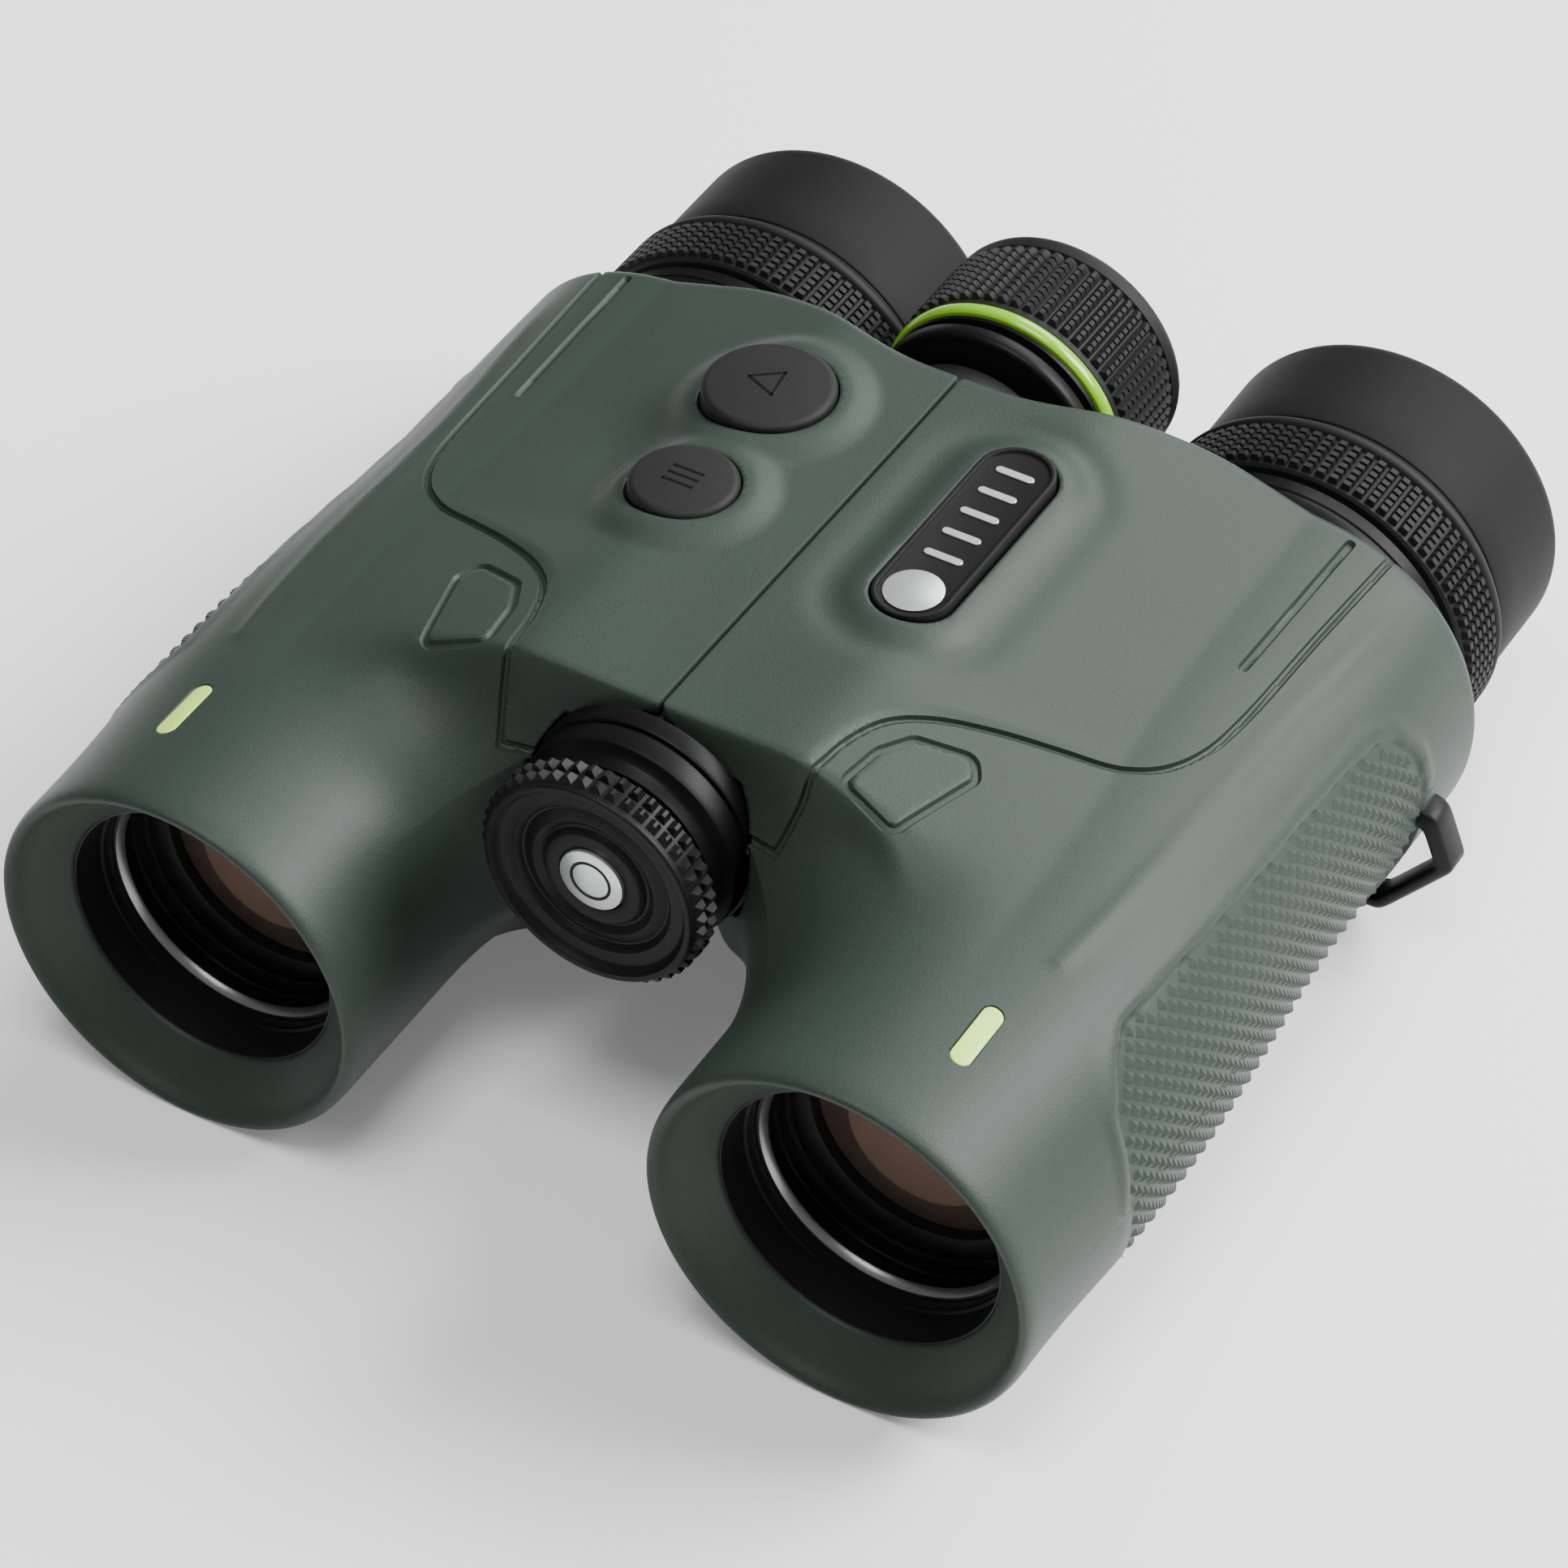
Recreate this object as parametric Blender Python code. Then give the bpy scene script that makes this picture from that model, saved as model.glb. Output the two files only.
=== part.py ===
"""Laser-rangefinder binoculars: two hinged optical halves, a battery in the hinge,
a focus wheel, twist-up eyecups and two buttons.

Stations are millimetres behind the plane of the two objective holes, heights are
millimetres above the objective axes, and world() turns both into metres in the
part's frame: origin under the middle of the part, -Y towards the view, +Z up.
"""
import math

import bmesh
import bpy
from mathutils import Vector

MM = 0.001

# Driving dimensions, in millimetres
GAP = 0.3                  # clearance between neighbouring pieces
FRONT_SQUARE = 0.999  # how square the front of the bridge meets its top, below 1
OBJECTIVE_HALF = 39.9      # half the spacing of the objective axes
EYE_HALF = 36.0            # half the spacing of the eyepiece axes, hinge fully open
BODY_REAR_HALF = 37.6      # middle of each housing at its rear end
HINGE_Z = 16.0             # hinge axis above the objective axes
REST_HEIGHT = 22.0         # objective axes above the surface the part rests on
FRONT_TIP = -4.8           # front of the objective hoods
REAR_TIP = 130.0           # rims of the eyecups
MIDDLE = (FRONT_TIP + REAR_TIP) / 2

BARREL_R = 22.3
SIDE_BULGE = 1.3           # extra radius on the outer side, under the hand
TOP_Z = 30.0               # flat top beside the hinge, at its front
TOP_DROP = 0.7             # how much lower the flat top is at its rear
SLOPE = math.radians(17)   # the top slopes down to the barrel at this angle
WEDGE = math.radians(22.5) # half of the free wedge under the hinge
SKIN = 2.2                 # thickness of the rubber armour and of the covers
REAR_INNER = 92.0          # rear end of the covers at the hinge
REAR_OUTER = 98.3          # rear end of the armour beside the eyepieces

HINGE_CLEAR_R = 12.0       # both halves stay outside this radius at the hinge
KNUCKLE_R = 11.5
COLLAR_R = 13.5
COLLAR_END = 26.6
TUBE_R = 9.9
TUBE_BORE_R = 8.8
HOLE_R = 16.3              # hole at the foot of each objective hood
BORE_FRONT_R = 18.4
BORE_REAR_R = 17.2
EYE_SEAT_R = 19.0          # opening in the armour round the eyepiece
EYE_SPIGOT_R = 18.0
EYE_SEAT_Y = 91.0

BIG_BUTTON = (16.2, 77.8, 7.5)     # across, station, radius
SMALL_BUTTON = (15.9, 59.4, 6.1)
BUTTON_TRAVEL = 0.8
PLATE = (13.9, 67.4, 31.0, 9.0)    # across, station, length, width
MARK = (47.3, 10.5, 8.6, 2.2)      # across, station, length, width
LUG_Y = (84.5, 88.5)
LUG_OUTSIDE = [(57.8, -18.3), (65.8, -8.8), (63.2, -2.0), (61.6, -1.4)]  # across, height
LUG_WINDOW = [(57.1, -16.7), (63.6, -8.9), (61.8, -4.2)]                 # across, height


def world(x, y, z):
    return Vector((x * MM, (y - MIDDLE) * MM, (z + REST_HEIGHT) * MM))


def smooth_step(low, high, value):
    t = min(1.0, max(0.0, (value - low) / (high - low)))
    return t * t * (3 - 2 * t)


# ---------------------------------------------------------------- materials

PALETTE = {
    "armour_rubber": ((0.085, 0.125, 0.098), 0.62, 0.0),
    "cover_rubber": ((0.09, 0.13, 0.103), 0.6, 0.0),
    "magnesium": ((0.11, 0.115, 0.115), 0.5, 0.7),
    "black_anodised": ((0.012, 0.012, 0.013), 0.42, 0.4),
    "black_plastic": ((0.016, 0.016, 0.017), 0.5, 0.0),
    "black_rubber": ((0.02, 0.02, 0.021), 0.68, 0.0),
    "steel": ((0.55, 0.55, 0.56), 0.3, 1.0),
    "brass": ((0.66, 0.5, 0.24), 0.35, 1.0),
    "green_gloss": ((0.24, 0.55, 0.02), 0.2, 0.0),
    "mark_green": ((0.55, 0.82, 0.24), 0.45, 0.0),
    "coated_glass": ((0.12, 0.05, 0.03), 0.05, 0.0),
    "clear_glass": ((0.7, 0.75, 0.78), 0.04, 0.0),
    "prism_glass": ((0.6, 0.66, 0.7), 0.05, 0.0),
    "battery_wrap": ((0.1, 0.25, 0.5), 0.4, 0.1),
    "board_green": ((0.02, 0.15, 0.06), 0.45, 0.0),
    "silver": ((0.7, 0.71, 0.72), 0.3, 0.9),
}


def material(name):
    made = bpy.data.materials.get(name)
    if made:
        return made
    color, roughness, metallic = PALETTE[name]
    made = bpy.data.materials.new(name)
    made.use_nodes = True
    shader = made.node_tree.nodes["Principled BSDF"]
    shader.inputs["Base Color"].default_value = (*color, 1)
    shader.inputs["Roughness"].default_value = roughness
    shader.inputs["Metallic"].default_value = metallic
    return made


# ---------------------------------------------------------------- mesh helpers

def make_object(name, mesh_data, material_name, origin=(0, 0, 0), rounded=True):
    """Turn a closed bmesh in world metres into an object whose origin is origin."""
    bmesh.ops.recalc_face_normals(mesh_data, faces=mesh_data.faces)
    offset = Vector(origin)
    bmesh.ops.translate(mesh_data, verts=mesh_data.verts, vec=-offset)
    mesh = bpy.data.meshes.new(name)
    mesh_data.to_mesh(mesh)
    mesh_data.free()
    mesh.materials.append(material(material_name))
    if rounded:
        mesh.shade_smooth()
        mesh.set_sharp_from_angle(angle=math.radians(35))
    made = bpy.data.objects.new(name, mesh)
    made.location = offset
    bpy.context.scene.collection.objects.link(made)
    return made


def loop_loft(loops, around=True):
    """Join closed loops of points, each to the next, and the last to the first.
    A loft that does not go all the way around gets a face at each end."""
    mesh_data = bmesh.new()
    rows = [[mesh_data.verts.new(point) for point in loop] for loop in loops]
    pairs = list(zip(rows, rows[1:]))
    if around:
        pairs.append((rows[-1], rows[0]))
    for row, following in pairs:
        for j in range(len(row)):
            k = (j + 1) % len(row)
            mesh_data.faces.new((row[j], row[k], following[k], following[j]))
    if not around:
        mesh_data.faces.new(rows[0])
        mesh_data.faces.new(rows[-1])
    return mesh_data


def turned(name, profile, x, z, material_name, segments=20):
    """Turn a closed (station, radius) profile about an axis along Y through x, z.

    A profile that touches radius 0 makes a solid piece, any other one a ring.
    """
    mesh_data = bmesh.new()
    verts = [mesh_data.verts.new(world(x + radius, y, z)) for y, radius in profile]
    edges = [mesh_data.edges.new((verts[i], verts[(i + 1) % len(verts)]))
             for i in range(len(verts))]
    bmesh.ops.spin(mesh_data, geom=verts + edges, cent=world(x, 0, z), axis=(0, 1, 0),
                   angle=2 * math.pi, steps=segments, use_duplicate=False)
    bmesh.ops.remove_doubles(mesh_data, verts=mesh_data.verts, dist=1e-6)
    drop_flat_faces(mesh_data)
    middle = (profile[0][0] + profile[-1][0]) / 2
    return make_object(name, mesh_data, material_name, world(x, middle, z))


def drop_flat_faces(mesh_data):
    """Remove the faces that a profile edge on the axis spins into."""
    empty = [face for face in mesh_data.faces if face.calc_area() < 1e-14]
    bmesh.ops.delete(mesh_data, geom=empty, context="FACES")
    loose = [edge for edge in mesh_data.edges if not edge.link_faces]
    bmesh.ops.delete(mesh_data, geom=loose, context="EDGES")


def tube_profile(y0, y1, inner, outer, chamfer=0.0):
    if not chamfer:
        return [(y0, inner), (y0, outer), (y1, outer), (y1, inner)]
    return [(y0, inner), (y0, outer - chamfer), (y0 + chamfer, outer),
            (y1 - chamfer, outer), (y1, outer - chamfer), (y1, inner)]


def lens_profile(y0, y1, radius, front_bulge, rear_bulge, rim=2):
    """A lens: flat edge from y0 to y1, surfaces bulging out by the two amounts."""
    steps = range(rim)
    front = [(y0 - front_bulge * (1 - (i / rim) ** 2), radius * i / rim) for i in steps]
    rear = [(y1 + rear_bulge * (1 - (i / rim) ** 2), radius * i / rim) for i in steps]
    return front + [(y0, radius), (y1, radius)] + rear[::-1]


def block(name, low, high, material_name, bevel=0.3):
    mesh_data = bmesh.new()
    bmesh.ops.create_cube(mesh_data, size=1)
    a = world(*low)
    b = world(*high)
    size = Vector([abs(b[i] - a[i]) for i in range(3)])
    bmesh.ops.scale(mesh_data, verts=mesh_data.verts, vec=size)
    bmesh.ops.translate(mesh_data, verts=mesh_data.verts, vec=(a + b) / 2)
    if bevel:
        bmesh.ops.bevel(mesh_data, geom=list(mesh_data.edges), offset=bevel * MM,
                        segments=1, affect="EDGES")
    return make_object(name, mesh_data, material_name, (a + b) / 2, rounded=False)


def prism(name, outline, z0, z1, material_name):
    """Extrude an outline of (x, y) points from height z0 to height z1."""
    mesh_data = bmesh.new()
    bottom = [mesh_data.verts.new(world(x, y, z0)) for x, y in outline]
    face = mesh_data.faces.new(bottom)
    lifted = bmesh.ops.extrude_face_region(mesh_data, geom=[face])
    top = [item for item in lifted["geom"] if isinstance(item, bmesh.types.BMVert)]
    bmesh.ops.translate(mesh_data, verts=top, vec=(0, 0, (z1 - z0) * MM))
    return make_object(name, mesh_data, material_name, rounded=False)


def capsule(name, centre, normal, length, width, low, high, material_name, grow=0.0):
    """A round-ended bar along Y, from low to high along normal from centre."""
    radius = width / 2 + grow
    straight = (length - width) / 2
    points = []
    for end in (1, -1):
        for i in range(7):
            angle = math.pi * i / 6
            points.append((end * math.cos(angle) * radius,
                           end * (straight + math.sin(angle) * radius)))
    up = Vector(normal).normalized()
    across = Vector((0, 1, 0)).cross(up)
    mesh_data = bmesh.new()
    rows = []
    for height in (low, high):
        base = world(*centre) + up * height * MM
        rows.append([mesh_data.verts.new(base + across * u * MM + Vector((0, v * MM, 0)))
                     for u, v in points])
    for i in range(len(points)):
        k = (i + 1) % len(points)
        mesh_data.faces.new((rows[0][i], rows[0][k], rows[1][k], rows[1][i]))
    mesh_data.faces.new(rows[0][::-1])
    mesh_data.faces.new(rows[1])
    return make_object(name, mesh_data, material_name, world(*centre), rounded=False)


def cylinder(name, x, z, radius, y0, y1, segments=40):
    profile = [(y0, 0), (y0, radius), (y1, radius), (y1, 0)]
    return turned(name, profile, x, z, "steel", segments)


def boolean(target, operation, tools):
    """Apply one exact Boolean with all the tools at once, then remove the tools."""
    group = bpy.data.collections.new("tools")
    bpy.context.scene.collection.children.link(group)
    for tool in tools:
        group.objects.link(tool)
    step = target.modifiers.new(operation.lower(), "BOOLEAN")
    step.operation = operation
    step.solver = "EXACT"
    step.operand_type = "COLLECTION"
    step.collection = group
    bpy.context.view_layer.update()
    graph = bpy.context.evaluated_depsgraph_get()
    result = bpy.data.meshes.new_from_object(target.evaluated_get(graph))
    target.modifiers.clear()
    target.data = result
    for tool in tools:
        bpy.data.objects.remove(tool, do_unlink=True)
    bpy.data.collections.remove(group)
    tidy_mesh(result)


def tidy_mesh(mesh):
    """Weld the sliver edges that a Boolean leaves, far below any real detail."""
    mesh_data = bmesh.new()
    mesh_data.from_mesh(mesh)
    bmesh.ops.triangulate(mesh_data, faces=mesh_data.faces)
    bmesh.ops.remove_doubles(mesh_data, verts=mesh_data.verts, dist=2e-6)
    bmesh.ops.dissolve_degenerate(mesh_data, edges=mesh_data.edges, dist=2e-6)
    bmesh.ops.triangulate(mesh_data, faces=mesh_data.faces)
    mesh_data.to_mesh(mesh)
    mesh_data.free()


# ---------------------------------------------------------------- body outline

SEAM_CORNER_STEP = 11               # the step that follows the corner at the seam
SEAM_CORNER = math.radians(36)


def body_axis(y):
    return OBJECTIVE_HALF + (BODY_REAR_HALF - OBJECTIVE_HALF) * smooth_step(30, 75, y)


def plane_reach(theta, normal, distance):
    """Distance from the axis to a plane, along direction theta."""
    slant = math.cos(theta - normal)
    return distance / slant if slant > 1e-3 else 1e3


def top_height(y):
    return TOP_Z - TOP_DROP * smooth_step(30, 90, y)


def soft_min(values, softness=0.6):
    least = min(values)
    return least - softness * math.log(sum(math.exp((least - v) / softness) for v in values))


def body_radius(theta, y):
    """Outer radius of a half about body_axis(y); theta 0 points at the hinge."""
    axis = body_axis(y)
    outward = smooth_step(0.1, 0.9, max(0.0, -math.cos(theta)))
    bulge = (SIDE_BULGE * smooth_step(0, 26, y) + 0.5 * smooth_step(60, 90, y)) * outward
    barrel = BARREL_R + bulge
    wedge_reach = math.cos(WEDGE) * axis - math.sin(WEDGE) * HINGE_Z
    square = 1 - math.sqrt(1 - FRONT_SQUARE)
    seam_reach = (axis - GAP / 2 - (1 - square) * BARREL_R * math.cos(theta)) / square
    planes = [plane_reach(theta, 0, seam_reach),
              plane_reach(theta, math.pi / 2, top_height(y)),
              plane_reach(theta, math.pi / 2 + SLOPE, BARREL_R * 0.985),
              plane_reach(theta, -WEDGE, wedge_reach),
              plane_reach(theta, -math.pi / 2 - SLOPE, BARREL_R)]
    wing = max(barrel, min(1e3, soft_min(planes)))
    if math.cos(theta) < math.cos(math.pi / 2 + SLOPE):
        wing = barrel
    degrees = math.degrees(theta)
    low = smooth_step(0, -30, degrees) if degrees < 0 else 0.0
    full = 28.0 - 2 * smooth_step(50, 75, degrees) + 16 * low
    start = 8.0 + 10 * low
    t = min(1.0, max(0.0, (y - start) / (full - start)))
    blend = 1 - math.sqrt(1 - FRONT_SQUARE * t * t)
    return barrel + (wing - barrel) * blend


def rear_end(x):
    """Rear end of the armour at distance x from the hinge."""
    return REAR_INNER + (REAR_OUTER - REAR_INNER) * smooth_step(4, 32, x)


def skin_point(side, theta, y, inset):
    """Point of the outer surface moved in by inset, kept over the resting plane."""
    axis = body_axis(y)
    if theta == SEAM_CORNER:
        theta = math.atan2(top_height(y), axis - GAP / 2)
    radius = body_radius(theta, y - inset) - inset
    floor = REST_HEIGHT - inset
    if radius * math.sin(theta) < -floor:
        radius = -floor / math.sin(theta)
    x = axis - radius * math.cos(theta)
    if y > 60:
        y = 60 + (y - 60) * (rear_end(abs(x)) - 60) / (REAR_OUTER - 60)
    return world(side * x, y, radius * math.sin(theta))


def ring_point(side, axis, theta, y, radius):
    z = max(radius * math.sin(theta), -REST_HEIGHT)
    return world(side * (axis - radius * math.cos(theta)), y, z)


def seat_rear(theta):
    """Rear end of the armour along the seat of the eyepiece."""
    return rear_end(abs(EYE_HALF - EYE_SEAT_R * math.cos(theta)))


def body_angles():
    """Finer steps on the hinge side, where the outline has its corners."""
    inner = [math.radians(-63 + 9 * i) for i in range(20)]
    inner[SEAM_CORNER_STEP] = SEAM_CORNER
    outer = [math.radians(125 + 17.2 * i) for i in range(10)]
    return inner + outer


OUTER_STATIONS = (0, 12, 18, 22, 25, 27.5, 29, 36, 50, 66, 91)
INNER_STATIONS = (3.5, 12, 19, 24, 28, 31, 44, 66, 91)


def armour_loop(side, theta):
    """Closed loop round the section of one shell: outside, rear wall, inside, hood."""
    hood = [(FRONT_TIP + 1.1, HOLE_R + 4.3), (FRONT_TIP, HOLE_R + 4.9),
            (FRONT_TIP + 0.4, BARREL_R - 0.5), (FRONT_TIP + 1.9, BARREL_R)]
    points = [ring_point(side, OBJECTIVE_HALF, theta, y, r) for y, r in hood]
    points += [skin_point(side, theta, y, 0) for y in OUTER_STATIONS]
    points.append(skin_point(side, theta, REAR_OUTER - 0.6, 0.5))
    points.append(skin_point(side, theta, REAR_OUTER, 1.3))
    rear = seat_rear(theta)
    points.append(ring_point(side, EYE_HALF, theta, rear, EYE_SEAT_R))
    points.append(ring_point(side, EYE_HALF, theta, rear - SKIN, EYE_SEAT_R))
    points.append(skin_point(side, theta, REAR_OUTER - SKIN, SKIN))
    points += [skin_point(side, theta, y, SKIN) for y in reversed(INNER_STATIONS)]
    points.append(ring_point(side, OBJECTIVE_HALF, theta, 0.9, BARREL_R - SKIN))
    points.append(ring_point(side, OBJECTIVE_HALF, theta, 0.9, HOLE_R))
    points.append(ring_point(side, OBJECTIVE_HALF, theta, 0.0, HOLE_R))
    return points


def bore_axis(y):
    return OBJECTIVE_HALF + (EYE_HALF - OBJECTIVE_HALF) * smooth_step(36, 58, y)


def chassis_loop(side, theta):
    inset = SKIN + GAP
    points = [ring_point(side, OBJECTIVE_HALF, theta, 1.2, BORE_FRONT_R),
              ring_point(side, OBJECTIVE_HALF, theta, 1.2, BARREL_R - inset)]
    points += [skin_point(side, theta, y, inset) for y in INNER_STATIONS]
    rear = seat_rear(theta) - SKIN - GAP
    points.append(skin_point(side, theta, REAR_OUTER - inset, inset))
    points.append(ring_point(side, EYE_HALF, theta, rear, EYE_SPIGOT_R + GAP))
    points.append(ring_point(side, EYE_HALF, theta, EYE_SEAT_Y - 0.1, EYE_SPIGOT_R + GAP))
    points += [ring_point(side, bore_axis(y), theta, y, BORE_REAR_R)
               for y in (EYE_SEAT_Y - 0.1, 58, 47, 36, 31)]
    points.append(ring_point(side, OBJECTIVE_HALF, theta, 31, BORE_FRONT_R))
    return points


def panel_outline(side, grow):
    """Outline of a bridge cover seen from above, an S from the rear to the front."""
    border = [(51.0, 110), (49.4, 78), (48.6, 61), (46.5, 55), (41.5, 50.8),
              (34, 48), (26.5, 45), (21.8, 40.5), (19.6, 35), (18.6, 29), (17.2, 18)]
    border = [(x + grow, y - grow * 0.6) for x, y in border]
    points = [(-5, 110)] + border + [(-5, 18)]
    return [(side * x, y) for x, y in points]


# ---------------------------------------------------------------- halves

KNUCKLES = {-1: ((29.5, 41.0), (74.5, 90.5)), 1: ((41.5, 56.0),)}


def knuckles(side):
    """Rings round the hinge tubes, each with a web to its own housing."""
    pieces = []
    for y0, y1 in KNUCKLES[side]:
        pieces.append(turned("ring", tube_profile(y0, y1, TUBE_R + GAP, KNUCKLE_R), 0,
                             HINGE_Z, "magnesium", 28))
        pieces.append(block("web", (side * (KNUCKLE_R - 0.7), y0 + 0.2, HINGE_Z - 5),
                            (side * (HINGE_CLEAR_R + 4), y1 - 0.2, HINGE_Z + 3.5),
                            "magnesium", 0))
    return pieces


def hinge_shield():
    """Curved plate under the focus drive, from one knuckle to the other. It ends
    short of the two focus arms, at every opening of the hinge."""
    steps = 8
    inner_r = TUBE_R + GAP
    loops = []
    for i in range(steps + 1):
        angle = math.radians(-146 + 70 * i / steps)
        loops.append([world(r * math.cos(angle), y, HINGE_Z + r * math.sin(angle))
                      for y, r in ((57.0, inner_r), (57.0, KNUCKLE_R),
                                   (75.0, KNUCKLE_R), (75.0, inner_r))])
    return make_object("shield", loop_loft(loops, around=False), "magnesium")


def hinge_bores():
    """Room for the hinge tubes, and a wider recess for the front collar."""
    return [cylinder("bore", 0, HINGE_Z, HINGE_CLEAR_R, 15, 110),
            cylinder("recess", 0, HINGE_Z, COLLAR_R + 0.5, 5, COLLAR_END + GAP)]


def panel_prism(side, grow, z0):
    return prism("panel", panel_outline(side, grow), z0, 40, "steel")


def shell(name, side, loop, material_name):
    return make_object(name, loop_loft([loop(side, t) for t in body_angles()]),
                       material_name)


def make_chassis(word, side):
    """Housing with the hinge knuckles, a pocket for the electronics under the cover
    and a slot for the arm of the focus cell."""
    chassis = shell(word + "_chassis", side, chassis_loop, "magnesium")
    pocket = block("pocket", (side * 7, 50, 22.2), (side * 26, 88, 40), "steel", 0)
    well = block("well", (side * 14, 52, 16.5), (side * 25, 72, 30), "steel", 0)
    slot = block("slot", (side * 8, 57, 9.0), (side * 26, 73, 15.0), "steel", 0)
    boolean(chassis, "DIFFERENCE", hinge_bores() + [pocket, well, slot])
    added = knuckles(side)
    if side < 0:
        added.append(hinge_shield())
    boolean(chassis, "UNION", added)


def make_armour(word, side):
    armour = shell(word + "_armour", side, armour_loop, "armour_rubber")
    boolean(armour, "DIFFERENCE", hinge_bores() + [
        panel_prism(side, GAP, HINGE_Z + 4.2), lug_hole(side),
        mark_piece("hole", side, -1.1, 2, GAP)])


def make_cover(word, side):
    cover = shell(word + "_bridge_cover", side, armour_loop, "cover_rubber")
    boolean(cover, "INTERSECT", [panel_prism(side, 0, HINGE_Z + 4.5)])
    holes = [plate_piece("hole", -1.3, 3, GAP)] if side > 0 else button_holes()
    boolean(cover, "DIFFERENCE", hinge_bores() + holes)


def make_half(side):
    word = "left" if side < 0 else "right"
    make_chassis(word, side)
    make_armour(word, side)
    make_cover(word, side)
    make_lug(word, side)
    mark_piece(word + "_alignment_mark", side, -0.8, 0.25, 0)


def lug_hole(side):
    return block("lug_hole", (side * 45, LUG_Y[0] - GAP, LUG_OUTSIDE[0][1] - GAP),
                 (side * 70, LUG_Y[1] + GAP, LUG_OUTSIDE[-1][1] + GAP), "steel", 0)


def side_arc(top, bottom, inset, steps=8):
    """Outline of the outer side at the lug, between two angles below the axis."""
    station = (LUG_Y[0] + LUG_Y[1]) / 2
    points = []
    for i in range(steps + 1):
        angle = math.radians(top + (bottom - top) * i / steps)
        radius = body_radius(angle - math.pi, station) - inset
        points.append((body_axis(station) + radius * math.cos(angle),
                       -radius * math.sin(angle)))
    return points


def slab(name, side, outline, y0, y1, material_name):
    """Extrude an outline of (across, height) points from station y0 to station y1."""
    mesh_data = bmesh.new()
    front = [mesh_data.verts.new(world(side * x, y0, z)) for x, z in outline]
    face = mesh_data.faces.new(front)
    pushed = bmesh.ops.extrude_face_region(mesh_data, geom=[face])
    rear = [item for item in pushed["geom"] if isinstance(item, bmesh.types.BMVert)]
    bmesh.ops.translate(mesh_data, verts=rear, vec=(0, (y1 - y0) * MM, 0))
    return make_object(name, mesh_data, material_name, rounded=False)


def make_lug(word, side):
    """Strap lug: a frame set into the armour, open to the front for the strap."""
    outline = side_arc(3.7, 58.7, SKIN) + LUG_OUTSIDE
    lug = slab(word + "_strap_lug", side, outline, LUG_Y[0], LUG_Y[1], "black_plastic")
    window = side_arc(10.1, 44.7, 0) + LUG_WINDOW
    boolean(lug, "DIFFERENCE", [slab("window", side, window, LUG_Y[0] - 1, LUG_Y[1] + 1,
                                     "steel")])


def mark_piece(name, side, low, high, grow):
    across, station, length, width = MARK
    lean = across - OBJECTIVE_HALF
    height = math.sqrt(BARREL_R ** 2 - lean ** 2)
    return capsule(name, (side * across, station, height), (side * lean, 0, height),
                   length, width, low, high, "mark_green", grow)


def make_optics(word, side):
    front_x = side * OBJECTIVE_HALF
    eye_x = side * EYE_HALF
    cell = [(1.2, HOLE_R + 0.3), (1.2, 18.1), (29.0, 18.1), (29.0, 12.0), (17.6, 12.0),
            (17.6, 13.1), (12.8, 13.1), (12.8, 15.8), (5.0, 15.8), (5.0, HOLE_R + 0.3)]
    turned(word + "_objective_cell", cell, front_x, 0, "black_anodised", 24)
    ring = [(5.6, 14.7), (5.3, 15.5), (7.6, 15.5), (7.6, 14.4)]
    turned(word + "_retaining_ring", ring, front_x, 0, "steel", 24)
    turned(word + "_objective_lens", lens_profile(9.0, 12.4, 15.4, 1.2, -0.8), front_x, 0,
           "clear_glass", 20)
    turned(word + "_inner_lens", lens_profile(14.2, 17.0, 12.8, 0.9, -0.4), front_x, 0,
           "coated_glass", 20)
    block(word + "_prism", (side * (EYE_HALF - 11), 73.5, -11),
          (side * (EYE_HALF + 11), 90, 11), "prism_glass", 1.5)
    tube = [(EYE_SEAT_Y + GAP, 14.6), (EYE_SEAT_Y + GAP, EYE_SPIGOT_R), (98.7, EYE_SPIGOT_R),
            (99.6, 20.4), (103.6, 20.4), (103.6, 16.6), (126.0, 16.6), (126.0, 14.6)]
    turned(word + "_eyepiece_tube", tube, eye_x, 0, "black_anodised", 24)


def make_focus_cell(word, side):
    """Lens cell that slides in the housing, with the arm that the carriage moves."""
    x = side * EYE_HALF
    cell = turned(word + "_focus_cell", tube_profile(61.5, 68.5, 13.6, 16.7), x, 0,
                  "black_anodised", 24)
    arm = block("arm", (side * 5.2, 63.6, 10.4), (side * 26.5, 66.4, 13.2), "black_anodised", 0)
    boolean(cell, "UNION", [arm])
    turned(word + "_focus_lens", lens_profile(63.4, 66.0, 13.2, -0.5, 0.9), x, 0,
           "clear_glass", 20)


def make_eyepiece(word, side):
    x = side * EYE_HALF
    turned(word + "_dioptre_ring", tube_profile(104.0, 112.7, 17.0, 21.8, 0.5), x, 0,
           "black_rubber", 28)
    turned(word + "_ocular_cell", tube_profile(106, 123, 12.4, 14.2), x, 0,
           "black_anodised", 20)
    turned(word + "_eye_lens", lens_profile(117.0, 121.0, 12.0, 0.6, 1.0), x, 0,
           "coated_glass", 20)
    turned(word + "_friction_ring", tube_profile(114.0, 118.0, 16.9, 18.1), x, 0,
           "brass", 20)
    turned(word + "_eyecup_sleeve", tube_profile(113.2, 127.8, 18.4, 19.4), x, 0,
           "black_anodised", 24)
    cup = [(113.0, 19.7), (113.0, 20.6), (113.6, 20.9), (128.2, 20.9), (REAR_TIP, 19.6),
           (REAR_TIP, 17.6), (128.9, 16.2), (128.1, 16.2), (128.1, 19.7)]
    turned(word + "_eyecup", cup, x, 0, "black_rubber", 28)


# ---------------------------------------------------------------- hinge line

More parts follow.
